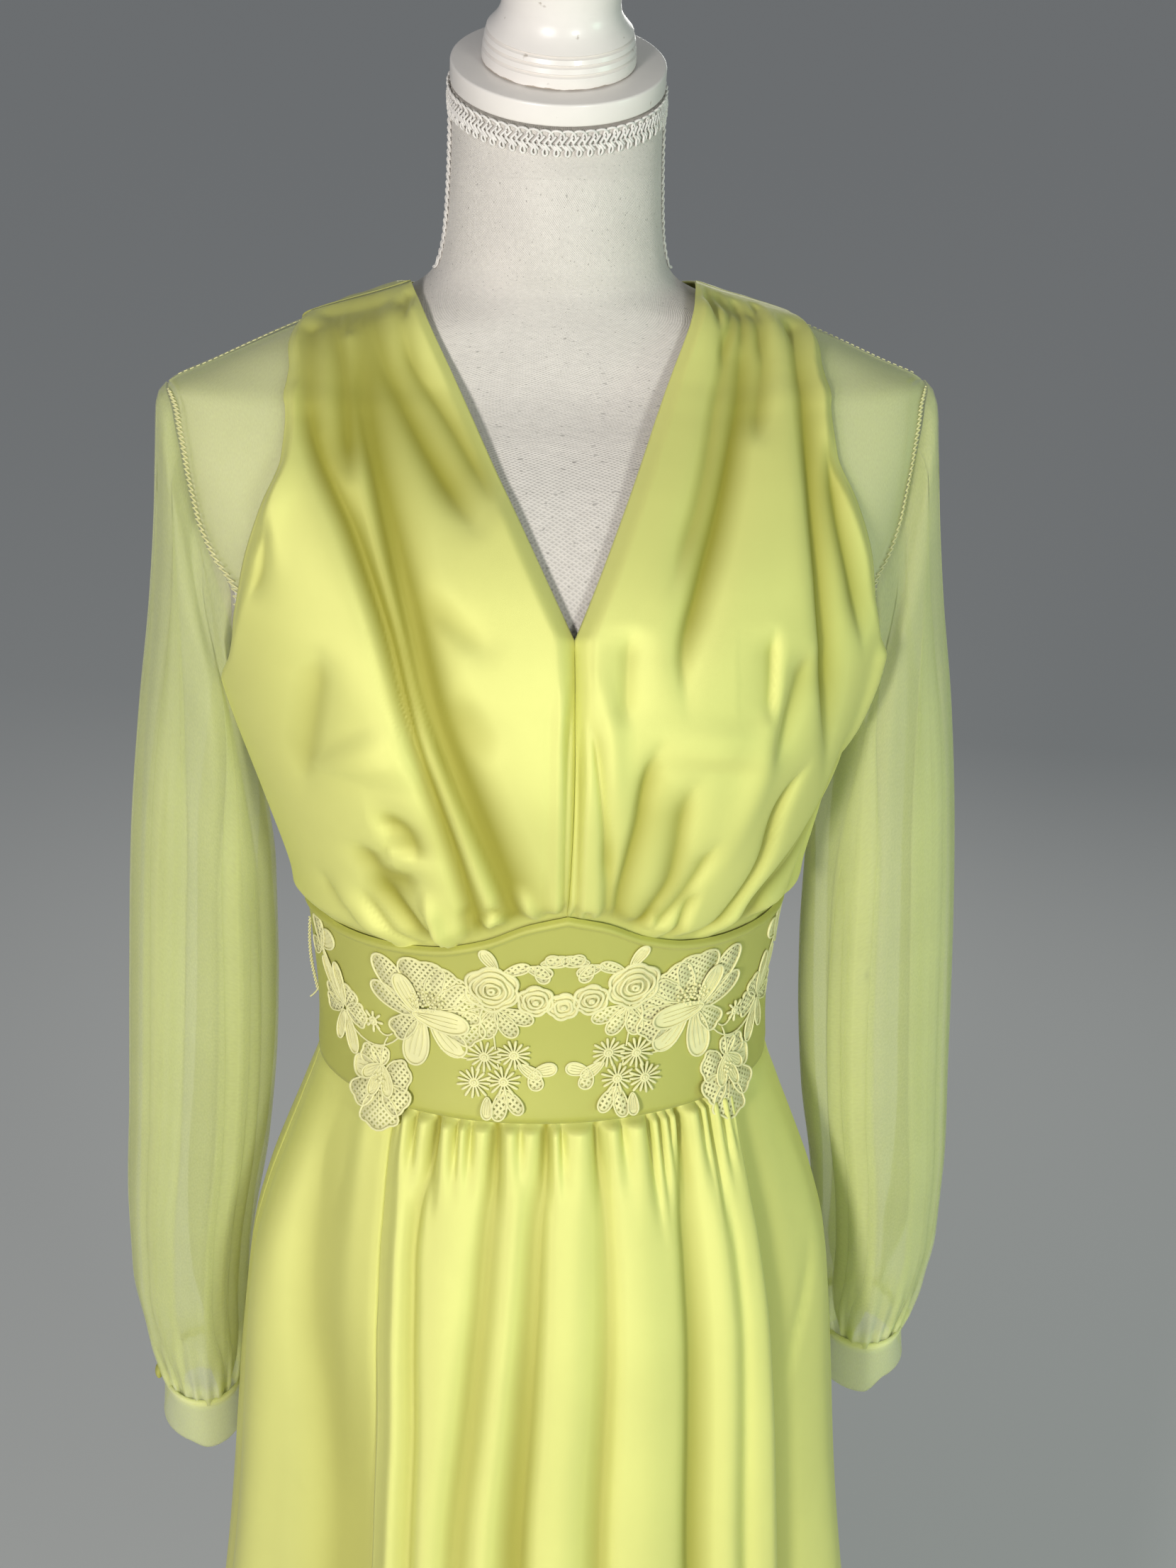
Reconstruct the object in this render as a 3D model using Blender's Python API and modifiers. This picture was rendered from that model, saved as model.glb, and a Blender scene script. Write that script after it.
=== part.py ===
"""A long-sleeved maxi dress on a limbless dress form.

Metres, +Z up. The origin is the centre of the stand's underside, the front faces -Y,
and +X is the viewer's right. Angles run round the body from 0 at the centre front,
through 90 at the +X side, to 180 at the centre back.
"""

import math
from collections import namedtuple

import bmesh
import bpy
from mathutils import Matrix, Vector
from mathutils.geometry import delaunay_2d_cdt

# Cloth walls and the gaps at seams
SATIN = 0.0013
SHEER = 0.0010
BAND = 0.0016
CUFF = 0.0016
LACE = 0.0016
GAP = 0.0007

# Heights of the dress
HEM = 0.035
WAIST = 1.031
NECK_POINT = 1.287
NECK_SIDE = 1.4262
NECK_SIDE_X = 0.0665

# Panels stop just short of the side seams, which lie at a quarter turn
SIDE_SEAM = 89.8

# The stand
BASE_RADIUS = 0.200
BASE_HEIGHT = 0.024
POLE_RADIUS = 0.015
TORSO_FOOT = 0.800
TORSO_SIDES = 24
CAP_RADIUS = 0.0495
CAP_THICKNESS = 0.0105
CAP_TILT = 18.0
NECK_TOP = Vector((0.0, -0.004, 1.519))
BRAID_HEIGHT = 0.0105
BRAID_THICKNESS = 0.0022
SIDE_BRAID_HALF = 0.0028
SIDE_BRAID_FOOT = 1.4422
SIDE_BRAID_STEPS = 7
TOUCH = 0.0004

# Ellipses of the dress: half width, depth to the front and to the back of the middle
BodyRow = namedtuple("BodyRow", "height half_width front back middle")
BODY_ROWS = (
    BodyRow(0.035, 0.272, 0.262, 0.262, 0.000),
    BodyRow(0.200, 0.250, 0.236, 0.238, 0.000),
    BodyRow(0.400, 0.217, 0.200, 0.203, 0.000),
    BodyRow(0.600, 0.188, 0.165, 0.168, 0.000),
    BodyRow(0.750, 0.170, 0.143, 0.148, 0.000),
    BodyRow(0.870, 0.160, 0.128, 0.138, 0.000),
    BodyRow(0.915, 0.155, 0.122, 0.132, 0.000),
    BodyRow(0.950, 0.146, 0.114, 0.121, 0.000),
    BodyRow(0.980, 0.135, 0.106, 0.108, 0.000),
    BodyRow(1.006, 0.125, 0.099, 0.098, 0.000),
    BodyRow(1.031, 0.117, 0.094, 0.092, 0.000),
    BodyRow(1.056, 0.116, 0.093, 0.090, 0.000),
    BodyRow(1.105, 0.1195, 0.099, 0.090, 0.000),
    BodyRow(1.140, 0.125, 0.110, 0.091, 0.000),
    BodyRow(1.180, 0.136, 0.123, 0.095, 0.000),
    BodyRow(1.220, 0.148, 0.130, 0.099, 0.000),
    BodyRow(1.260, 0.160, 0.127, 0.102, 0.000),
    BodyRow(1.300, 0.170, 0.113, 0.103, 0.000),
    BodyRow(1.340, 0.178, 0.092, 0.096, 0.002),
    BodyRow(1.365, 0.183, 0.076, 0.084, 0.005),
    BodyRow(1.379, 0.184, 0.066, 0.074, 0.007),
    BodyRow(1.388, 0.165, 0.060, 0.068, 0.008),
    BodyRow(1.411, 0.112, 0.052, 0.058, 0.010),
    BodyRow(1.427, 0.066, 0.050, 0.056, 0.011),
    BodyRow(1.437, 0.055, 0.049, 0.053, 0.009),
    BodyRow(1.460, 0.0503, 0.0485, 0.0500, 0.004),
    BodyRow(1.500, 0.0490, 0.0480, 0.0485, -0.001),
    BodyRow(1.545, 0.0490, 0.0480, 0.0485, -0.006),
)

# Rows of a bodice front, top to bottom. The inner edge is the neckline, then the centre
# front; the outer edge is the yoke seam, then the armhole, then the side seam. Spread
# above 1 draws the folds towards the centre.
BodiceRow = namedtuple("BodiceRow", "inner_height outer_angle outer_height spread")
BODICE_ROWS = (
    BodiceRow(1.4262, SIDE_SEAM, 1.4105, 1.00),
    BodiceRow(1.4190, 70.0, 1.4030, 1.00),
    BodiceRow(1.4080, 52.0, 1.3910, 1.00),
    BodiceRow(1.3920, 43.5, 1.3760, 1.00),
    BodiceRow(1.3680, 45.0, 1.3570, 1.00),
    BodiceRow(1.3400, 51.0, 1.3360, 1.05),
    BodiceRow(1.3130, 57.5, 1.3130, 1.10),
    BodiceRow(1.2870, 63.5, 1.2900, 1.15),
    BodiceRow(1.2640, 74.0, 1.2620, 1.25),
    BodiceRow(1.2400, SIDE_SEAM, 1.2360, 1.35),
    BodiceRow(1.2150, SIDE_SEAM, 1.2100, 1.45),
    BodiceRow(1.1880, SIDE_SEAM, 1.1800, 1.55),
    BodiceRow(1.1660, SIDE_SEAM, 1.1480, 1.60),
    BodiceRow(1.1490, SIDE_SEAM, 1.1210, 1.60),
)
YOKE_ROWS = 8

# Rows of a bodice back: the neckline, then the centre back, and the same outer edge
BackRow = namedtuple("BackRow", "inner_angle inner_height outer_angle outer_height")
BACK_ROWS = (
    BackRow(SIDE_SEAM, 1.4262, SIDE_SEAM, 1.4105),
    BackRow(55.0, 1.4205, 62.0, 1.4020),
    BackRow(28.0, 1.4150, 50.0, 1.3880),
    BackRow(9.0, 1.4110, 46.0, 1.3690),
    BackRow(0.0, 1.3900, 50.0, 1.3450),
    BackRow(0.0, 1.3500, 55.0, 1.3200),
    BackRow(0.0, 1.3000, 62.0, 1.2920),
    BackRow(0.0, 1.2700, 74.0, 1.2620),
    BackRow(0.0, 1.2400, SIDE_SEAM, 1.2360),
    BackRow(0.0, 1.1750, SIDE_SEAM, 1.1780),
    BackRow(0.0, 1.1210, SIDE_SEAM, 1.1210),
)
BACK_YOKE_ROWS = 7
YOKE_STEPS = 5

# The share of the armhole's way down that the yokes reach
YOKE_SHARE = 0.76

# The armhole on the body, from the shoulder tip to the underarm
ArmholeRow = namedtuple("ArmholeRow", "share angle height")
ARMHOLE_ROWS = (
    ArmholeRow(0.00, 90.0, 1.3800),
    ArmholeRow(0.09, 80.0, 1.3765),
    ArmholeRow(0.18, 74.5, 1.3690),
    ArmholeRow(0.30, 71.5, 1.3550),
    ArmholeRow(0.42, 70.0, 1.3390),
    ArmholeRow(0.54, 69.2, 1.3220),
    ArmholeRow(0.66, 68.0, 1.3060),
    ArmholeRow(0.76, 66.5, 1.2920),
    ArmholeRow(0.88, 74.0, 1.2620),
    ArmholeRow(1.00, 90.0, 1.2360),
)

# The top edge of the midriff band, from its peak at the centre front to the centre back
BandRow = namedtuple("BandRow", "angle height")
BAND_TOP = (
    BandRow(0.0, 1.1490),
    BandRow(8.0, 1.1440),
    BandRow(18.0, 1.1330),
    BandRow(30.0, 1.1250),
    BandRow(45.0, 1.1215),
    BandRow(65.0, 1.1200),
    BandRow(90.0, 1.1200),
    BandRow(180.0, 1.1200),
)

# The band's grid: columns to a quarter of the way round, their step, and the levels
BAND_COLUMNS = 13
BAND_STEP = 0.01279
BAND_LEVELS = 3
BAND_LEVEL = 0.024

# Sleeve rings below the armhole: the points at the outer and the inner edge, the
# middle and half depth, the share of the way from the armhole's form to an ellipse,
# and the depth of the folds there
SleeveRow = namedtuple("SleeveRow", "outer_x outer_z inner_x inner_z middle depth round fold")
SLEEVE_ROWS = (
    SleeveRow(0.1874, 1.3740, 0.1574, 1.2270, 0.004, 0.0480, 0.25, 0.0000),
    SleeveRow(0.1895, 1.3500, 0.1530, 1.2080, 0.007, 0.0480, 0.60, 0.0006),
    SleeveRow(0.1920, 1.3150, 0.1465, 1.1880, 0.010, 0.0470, 0.90, 0.0020),
    SleeveRow(0.1965, 1.2700, 0.1415, 1.1600, 0.013, 0.0460, 1.00, 0.0025),
    SleeveRow(0.2045, 1.2100, 0.1385, 1.1250, 0.017, 0.0445, 1.00, 0.0030),
    SleeveRow(0.2110, 1.1400, 0.1385, 1.0800, 0.022, 0.0435, 1.00, 0.0040),
    SleeveRow(0.2150, 1.0700, 0.1400, 1.0300, 0.027, 0.0430, 1.00, 0.0045),
    SleeveRow(0.2190, 0.9900, 0.1460, 0.9650, 0.034, 0.0440, 1.00, 0.0050),
    SleeveRow(0.2230, 0.9150, 0.1565, 0.9050, 0.042, 0.0460, 1.00, 0.0055),
    SleeveRow(0.2230, 0.8750, 0.1605, 0.8700, 0.047, 0.0460, 1.00, 0.0055),
    SleeveRow(0.2180, 0.8400, 0.1625, 0.8370, 0.050, 0.0430, 1.00, 0.0050),
    SleeveRow(0.2125, 0.8150, 0.1650, 0.8120, 0.052, 0.0390, 1.00, 0.0030),
    SleeveRow(0.2100, 0.8020, 0.1665, 0.8000, 0.052, 0.0365, 1.00, 0.0012),
)
ARMHOLE_OUT = Vector((0.0014, 0.0, 0.0))
UNDERARM_OUT = Vector((0.0008, 0.0, 0.0020))
CUFF_GAP = 0.0006
CUFF_DEPTH = 0.029
CUFF_TAPER = 0.0025
CUFF_COLUMNS = 24
RIGHT_SLEEVE_LIFT = 0.018
RIGHT_SLEEVE_REACH = 0.008
BUTTON_DROP = 0.0080
BUTTON_RADIUS = 0.0048
BUTTON_THICKNESS = 0.0034

# Folds across a panel from its first edge: relative width, then the depth in
# millimetres at the top, in the middle and at the foot of the panel
Fold = namedtuple("Fold", "width top middle foot")
BODICE_FOLDS = (
    Fold(1.3, 1.0, 0.6, 1.2),
    Fold(0.8, 2.4, 0.6, 3.2),
    Fold(1.1, 2.8, 2.0, 2.8),
    Fold(0.9, 2.2, 1.2, 3.6),
    Fold(1.3, 3.0, 3.0, 3.0),
    Fold(0.9, 2.4, 0.8, 3.4),
    Fold(1.1, 2.6, 1.6, 2.2),
    Fold(1.2, 1.6, 0.6, 0.8),
)
BACK_FOLDS = (
    Fold(1.0, 0.2, 0.6, 1.4),
    Fold(1.0, 0.4, 0.8, 1.6),
    Fold(1.3, 0.2, 0.4, 0.6),
)
CENTRE_FOLDS = (
    Fold(0.9, 1.8, 7.0, 14.0),
    Fold(1.0, 2.4, 3.0, 8.0),
    Fold(1.2, 2.8, 9.0, 20.0),
    Fold(0.8, 2.0, 3.5, 9.0),
    Fold(1.1, 2.6, 8.0, 17.0),
    Fold(0.9, 2.2, 4.0, 11.0),
    Fold(1.2, 2.4, 7.5, 19.0),
    Fold(0.9, 2.6, 3.5, 10.0),
    Fold(1.0, 2.0, 9.0, 18.0),
    Fold(1.1, 2.8, 4.0, 9.0),
    Fold(0.9, 2.2, 8.0, 19.0),
    Fold(1.1, 2.6, 3.0, 9.0),
    Fold(1.0, 1.8, 6.5, 14.0),
)
SIDE_FOLDS = (
    Fold(1.4, 0.0, 3.5, 15.0),
    Fold(1.0, 0.0, 1.5, 10.0),
)
SKIRT_BACK_FOLDS = (
    Fold(1.1, 0.0, 1.0, 11.0),
    Fold(1.0, 0.0, 2.5, 16.0),
    Fold(1.2, 0.0, 3.0, 18.0),
)
SLEEVE_FOLDS = (
    Fold(0.9, 0.9, 0.9, 0.9),
    Fold(1.1, 1.3, 1.3, 1.3),
    Fold(0.9, 0.8, 0.8, 0.8),
    Fold(1.1, 0.3, 0.3, 0.3),
    Fold(1.0, 0.3, 0.3, 0.3),
    Fold(0.9, 0.9, 0.9, 0.9),
    Fold(1.1, 1.3, 1.3, 1.3),
    Fold(1.0, 1.1, 1.1, 1.1),
)

# Rows of the skirt and the angles of its two princess seams at each
SkirtRow = namedtuple("SkirtRow", "height left right")
SKIRT_ROWS = (
    SkirtRow(1.0306, 43.5, 49.0),
    SkirtRow(1.0080, 42.5, 48.5),
    SkirtRow(0.9700, 39.5, 46.0),
    SkirtRow(0.9200, 36.5, 44.0),
    SkirtRow(0.8500, 35.0, 43.5),
    SkirtRow(0.7000, 35.0, 43.0),
    SkirtRow(0.4200, 36.5, 42.5),
    SkirtRow(HEM, 39.0, 42.0),
)

# How far the torso lies inside the dress's middle surface
FormRow = namedtuple("FormRow", "height inset")
FORM_ROWS = (
    FormRow(TORSO_FOOT, 0.0600),
    FormRow(0.8030, 0.0420),
    FormRow(0.8120, 0.0290),
    FormRow(0.8350, 0.0190),
    FormRow(0.8750, 0.0130),
    FormRow(0.9200, 0.0095),
    FormRow(0.9700, 0.0062),
    FormRow(1.0310, 0.0042),
    FormRow(1.1050, 0.0040),
    FormRow(1.1800, 0.0040),
    FormRow(1.2300, 0.0040),
    FormRow(1.2800, 0.0036),
    FormRow(1.3200, 0.0032),
    FormRow(1.3500, 0.0044),
    FormRow(1.3680, 0.0058),
    FormRow(1.3780, 0.0058),
    FormRow(1.3880, 0.0052),
    FormRow(1.4000, 0.0036),
    FormRow(1.4110, 0.0030),
    FormRow(1.4200, 0.0030),
    FormRow(1.4280, 0.0028),
    FormRow(1.4370, 0.0012),
    FormRow(1.4550, 0.0000),
    FormRow(1.4800, 0.0000),
)

# Half outline of the turned finial, from the top down
FinialRow = namedtuple("FinialRow", "radius height")
FINIAL_ROWS = (
    FinialRow(0.0000, 0.0920),
    FinialRow(0.0060, 0.0905),
    FinialRow(0.0080, 0.0865),
    FinialRow(0.0075, 0.0830),
    FinialRow(0.0160, 0.0800),
    FinialRow(0.0255, 0.0720),
    FinialRow(0.0302, 0.0600),
    FinialRow(0.0305, 0.0480),
    FinialRow(0.0275, 0.0345),
    FinialRow(0.0268, 0.0270),
    FinialRow(0.0290, 0.0200),
    FinialRow(0.0335, 0.0150),
    FinialRow(0.0350, 0.0115),
    FinialRow(0.0352, 0.0000),
    FinialRow(0.0000, 0.0000),
)

# Half outline of the round stand, from the top down
StandRow = namedtuple("StandRow", "radius height")
STAND_ROWS = (
    StandRow(0.0000, BASE_HEIGHT),
    StandRow(0.0300, BASE_HEIGHT),
    StandRow(0.1850, 0.0180),
    StandRow(BASE_RADIUS, 0.0110),
    StandRow(BASE_RADIUS, 0.0020),
    StandRow(BASE_RADIUS - 0.002, 0.0000),
    StandRow(0.0000, 0.0000),
)

# Lace motifs on one side: centre and size in centimetres along the band from the
# centre front and up from its lower seam, and the turn in degrees
Motif = namedtuple("Motif", "kind along up size petals turn")
LACE_MOTIFS = (
    Motif("disc", 3.35, 7.55, 1.35, 6, 0),
    Motif("disc", 1.30, 6.95, 0.88, 5, 20),
    Motif("bloom", 6.95, 5.80, 3.10, 7, 20),
    Motif("leaf", 7.20, 5.60, 3.45, 1.20, 52),
    Motif("leaf", 6.90, 5.20, 2.80, 0.85, 285),
    Motif("leaf", 4.75, 6.75, 0.80, 0.32, 170),
    Motif("leaf", 3.05, 6.30, 1.75, 0.48, 200),
    Motif("leaf", 3.15, 6.30, 1.75, 0.48, 240),
    Motif("leaf", 3.25, 6.30, 1.75, 0.48, 285),
    Motif("leaf", 3.35, 6.30, 1.65, 0.48, 330),
    Motif("leaf", 3.10, 8.70, 1.35, 0.36, 60),
    Motif("leaf", 2.80, 8.50, 1.30, 0.38, 155),
    Motif("leaf", 1.75, 8.95, 1.20, 0.40, 200),
    Motif("leaf", 1.10, 9.20, 1.25, 0.40, 170),
    Motif("leaf", 1.25, 9.10, 1.15, 0.38, 250),
    Motif("daisy", 2.30, 3.75, 0.88, 6, 0),
    Motif("daisy", 3.75, 3.55, 0.92, 6, 15),
    Motif("daisy", 2.80, 2.22, 0.88, 6, 30),
    Motif("daisy", 4.25, 2.05, 0.90, 6, 8),
    Motif("leaf", 3.30, 4.95, 1.00, 0.22, 265),
    Motif("leaf", 4.40, 3.35, 1.60, 0.22, 10),
    Motif("leaf", 2.10, 3.20, 1.30, 0.34, 215),
    Motif("leaf", 1.35, 2.75, 1.10, 0.40, 165),
    Motif("leaf", 1.40, 2.80, 1.05, 0.40, 255),
    Motif("leaf", 2.75, 1.75, 1.40, 0.38, 235),
    Motif("leaf", 2.80, 1.75, 1.55, 0.40, 280),
    Motif("bloom", 9.35, 0.60, 2.10, 6, 90),
    Motif("leaf", 9.45, 1.80, 2.00, 0.70, 116),
    Motif("leaf", 9.10, 2.40, 2.40, 0.26, 100),
    Motif("disc", 9.75, 4.30, 0.62, 5, 0),
    Motif("leaf", 9.60, 4.20, 1.60, 0.26, 8),
    Motif("bloom", 11.90, 4.40, 1.55, 5, 90),
    Motif("leaf", 11.90, 4.60, 2.30, 0.60, 255),
    Motif("leaf", 11.90, 5.20, 2.90, 0.40, 45),
    Motif("leaf", 13.60, 7.00, 1.70, 0.60, 80),
    Motif("leaf", 13.60, 7.10, 1.60, 0.60, 140),
    Motif("leaf", 13.70, 7.00, 1.50, 0.55, 340),
)
FLORET = Motif("disc", 0.00, 6.60, 0.78, 5, 18)
CENTRE_LEAF = Motif("leaf", -0.75, 9.40, 1.50, 0.46, 0)
LACE_EASE = 0.0006
LACE_STAND_OFF = 0.0030
STAND_OFF_FROM = 1.6
LACE_BENDS = (1, 3)
LACE_LOW, LACE_HIGH, LACE_REACH = -4.0, 12.0, 18.0
LEAF_POINTS = 6
FLAT_MERGE = 0.01


def remove_everything():
    for old in list(bpy.data.objects):
        bpy.data.objects.remove(old, do_unlink=True)


def finish(name, colour, roughness, metallic=0.0, alpha=1.0):
    """A material of one plain colour."""
    material = bpy.data.materials.new(name)
    material.use_nodes = True
    shader = material.node_tree.nodes["Principled BSDF"]
    shader.inputs["Base Color"].default_value = (*colour, 1.0)
    shader.inputs["Roughness"].default_value = roughness
    shader.inputs["Metallic"].default_value = metallic
    shader.inputs["Alpha"].default_value = alpha
    return material


def smooth_curve(knots, values):
    """A function through the knots that never overshoots them."""
    steps = [(b - a) / (q - p) for p, q, a, b in zip(knots, knots[1:], values, values[1:])]
    slopes = [steps[0]]
    for before, after in zip(steps, steps[1:]):
        agree = before * after > 0
        slopes.append(2 * before * after / (before + after) if agree else 0.0)
    slopes.append(steps[-1])

    def value(at):
        at = min(max(at, knots[0]), knots[-1])
        k = 0
        while k < len(knots) - 2 and at > knots[k + 1]:
            k += 1
        span = knots[k + 1] - knots[k]
        t = (at - knots[k]) / span
        start = values[k] * (1 + 2 * t) + slopes[k] * span * t
        end = values[k + 1] * (3 - 2 * t) + slopes[k + 1] * span * (t - 1)
        return start * (1 - t) ** 2 + end * t**2

    return value


def column_curve(rows, key, column):
    """A smooth function of one named column of a table over another."""
    return smooth_curve([getattr(r, key) for r in rows], [getattr(r, column) for r in rows])


HALF_WIDTH = column_curve(BODY_ROWS, "height", "half_width")
FRONT = column_curve(BODY_ROWS, "height", "front")
BACK = column_curve(BODY_ROWS, "height", "back")
MIDDLE = column_curve(BODY_ROWS, "height", "middle")
BAND_TOP_AT = column_curve(BAND_TOP, "angle", "height")
ARMHOLE_ANGLE = column_curve(ARMHOLE_ROWS, "share", "angle")
ARMHOLE_HEIGHT = column_curve(ARMHOLE_ROWS, "share", "height")


def mix(a, b, share):
    return a + (b - a) * share


def slope_of(curve, at):
    step = 0.001
    return (curve(at + step) - curve(at - step)) / (2 * step)


def on_body(angle, height, out=0.0):
    """A point of the dress's middle surface, moved out along its normal."""
    turn = math.radians(angle)
    width = HALF_WIDTH(height)
    deep = FRONT if math.cos(turn) > 0 else BACK
    depth = deep(height)
    x = width * math.sin(turn)
    y = -depth * math.cos(turn)
    rise = -(x * x * slope_of(HALF_WIDTH, height) / width**3)
    rise -= y * y * slope_of(deep, height) / depth**3 + y * slope_of(MIDDLE, height) / depth**2
    normal = Vector((x / width**2, y / depth**2, rise)).normalized()
    return Vector((x, y + MIDDLE(height), height)) + normal * out


def beside(angle, height, distance):
    """The angle that lies a distance along the body from another."""
    turn = math.radians(angle)
    depth = (FRONT if math.cos(turn) > 0 else BACK)(height)
    reach = math.hypot(HALF_WIDTH(height) * math.cos(turn), depth * math.sin(turn))
    return angle + math.degrees(distance / reach)


def angle_at(x, height):
    """The angle on the front where the body is x from the middle."""
    return math.degrees(math.asin(min(1.0, x / HALF_WIDTH(height))))


def fold_columns(folds, steps=3):
    """Columns across a panel: the share of its width, the rise from 0 to 1, the fold."""
    total = sum(fold.width for fold in folds)
    columns = []
    start = 0.0
    for fold in folds:
        for step in range(steps):
            t = step / steps
            share = (start + fold.width * t) / total
            columns.append((share, (1 - math.cos(2 * math.pi * t)) / 2, fold))
        start += fold.width
    columns.append((1.0, 0.0, folds[-1]))
    return columns


def fold_depth(fold, down):
    """The depth of a fold a share of the way down its panel, in metres."""
    if down < 0.5:
        return mix(fold.top, fold.middle, down * 2) / 1000
    return mix(fold.middle, fold.foot, down * 2 - 1) / 1000


def new_object(name, mesh, material, collection):
    made = bpy.data.objects.new(name, mesh)
    mesh.materials.append(material)
    collection.objects.link(made)
    mesh.shade_smooth()
    return made


def cloth(name, rows, thickness, material, collection, ring=False):
    """A wall through a grid of points, open at its edges; a ring closes each row."""
    width = len(rows[0])
    points = [point for row in rows for point in row]
    faces = []
    for r in range(len(rows) - 1):
        for c in range(width if ring else width - 1):
            side = (c + 1) % width
            faces.append((r * width + c, r * width + side, (r + 1) * width + side, (r + 1) * width + c))
    mesh = bpy.data.meshes.new(name)
    mesh.from_pydata(points, [], faces)
    made = new_object(name, mesh, material, collection)
    wall = made.modifiers.new("Wall", "SOLIDIFY")
    wall.thickness = thickness
    wall.offset = 0.0
    wall.use_even_offset = not ring
    wall.use_quality_normals = True
    return made


def mirrored(rows):
    """The same rows on the other side of the body, still wound the same way."""
    return [[Vector((-p.x, p.y, p.z)) for p in reversed(row)] for row in rows]


def pair(name, rows, thickness, material, collection):
    """The right panel from its rows and the left one mirrored."""
    cloth(name + "_right", rows, thickness, material, collection)
    cloth(name + "_left", mirrored(rows), thickness, material, collection)


def bodice_front_rows():
    """The right front, gathered at the shoulder and again into the band."""
    columns = fold_columns(BODICE_FOLDS)
    rows = []
    last = len(BODICE_ROWS) - 1
    for index, row in enumerate(BODICE_ROWS):
        neck_share = max(0.0, (row.inner_height - NECK_POINT) / (NECK_SIDE - NECK_POINT))
        inner = angle_at(NECK_SIDE_X * neck_share, row.inner_height)
        inner = max(inner, beside(0.0, row.inner_height, GAP / 2))
        inner = min(inner, BODICE_ROWS[0].outer_angle)
        near_band = max(0.0, (index - last + 3) / 3)
        points = []
        for share, rise, fold in columns:
            spread = share**row.spread
            angle = mix(inner, row.outer_angle, spread)
            height = mix(row.inner_height, row.outer_height, spread)
            height = mix(height, BAND_TOP_AT(angle) + GAP, near_band**2)
            out = rise * fold_depth(fold, index / last)
            points.append(on_body(angle, height, out))
        rows.append(points)
    return rows


def bodice_back_rows():
    """The right back, with the centre-back seam as its inner edge."""
    columns = fold_columns(BACK_FOLDS)
    rows = []
    last = len(BACK_ROWS) - 1
    for index, row in enumerate(BACK_ROWS):
        inner = max(row.inner_angle, beside(0.0, row.inner_height, GAP / 2))
        foot = GAP if index == last else 0.0
        points = []
        for share, rise, fold in columns:
            angle = mix(inner, row.outer_angle, share)
            height = mix(row.inner_height, row.outer_height, share) + foot
            out = rise * fold_depth(fold, index / last)
            points.append(on_body(180.0 - angle, height, out))
        rows.append(points[::-1])
    return rows


def yoke_rows(edge_rows, count, behind):
    """A sheer yoke between the bodice's outer edge and the armhole."""
    rows = []
    for index in range(count):
        edge = edge_rows[index]
        share = index / (count - 1) * YOKE_SHARE
        inner = beside(edge.outer_angle, edge.outer_height, GAP * 1.5)
        inner = min(inner, SIDE_SEAM)
        arm_angle = min(ARMHOLE_ANGLE(share), SIDE_SEAM)
        arm_height = ARMHOLE_HEIGHT(share)
        start_height = edge.outer_height - (GAP if index == 0 else 0.0)
        points = []
        for step in range(YOKE_STEPS + 1):
            across = step / YOKE_STEPS
            angle = mix(inner, arm_angle, across)
            height = mix(start_height, arm_height, across)
            points.append(on_body(180.0 - angle if behind else angle, height))
        rows.append(points[::-1] if behind else points)
    return rows


def band_rows(first, last):
    """A stretch of the midriff band between two of its even columns, counted from the
    centre front; its rows lie at the bends of the lace."""
    angle_of = arc_angles()
    rows = []
    for level in range(BAND_LEVELS + 3):
        points = []
        for column in range(first, last + 1):
            angle = angle_of(abs(column) * BAND_STEP)
            edge = 0.0
            if column == first:
                edge = GAP / 2
            elif column == last:
                edge = -GAP / 2
            height = WAIST + level * BAND_LEVEL
            top = BAND_TOP_AT(angle)
            if level == 0:
                height += GAP / 2
            if level > BAND_LEVELS:
                height = mix(WAIST + BAND_LEVELS * BAND_LEVEL, top, (level - BAND_LEVELS) / 2)
            angle = beside(math.copysign(angle, column), height, edge)
            points.append(on_body(angle, height))
        rows.append(points)
    return rows[::-1]


def skirt_rows(start_of, end_of, folds, steps=3):
    """A skirt panel between two edges, each an angle for a row of the skirt."""
    columns = fold_columns(folds, steps)
    rows = []
    for row in SKIRT_ROWS:
        start = beside(start_of(row), row.height, GAP / 2)
        end = beside(end_of(row), row.height, -GAP / 2)
        drop = WAIST - row.height
        down = (drop / (WAIST - HEM)) ** 0.6
        points = []
        for share, rise, fold in columns:
            out = rise * fold_depth(fold, down)
            points.append(on_body(mix(start, end, share), row.height, out))
        rows.append(points)
    return rows


def armhole_point(share):
    """A point a share of the way round the sleeve's side of the armhole seam."""
    around = share * 2
    down = around if around <= 1 else 2 - around
    angle = ARMHOLE_ANGLE(down)
    point = on_body(angle if around <= 1 else 180.0 - angle, ARMHOLE_HEIGHT(down))
    return point + ARMHOLE_OUT + UNDERARM_OUT * down**4


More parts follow.
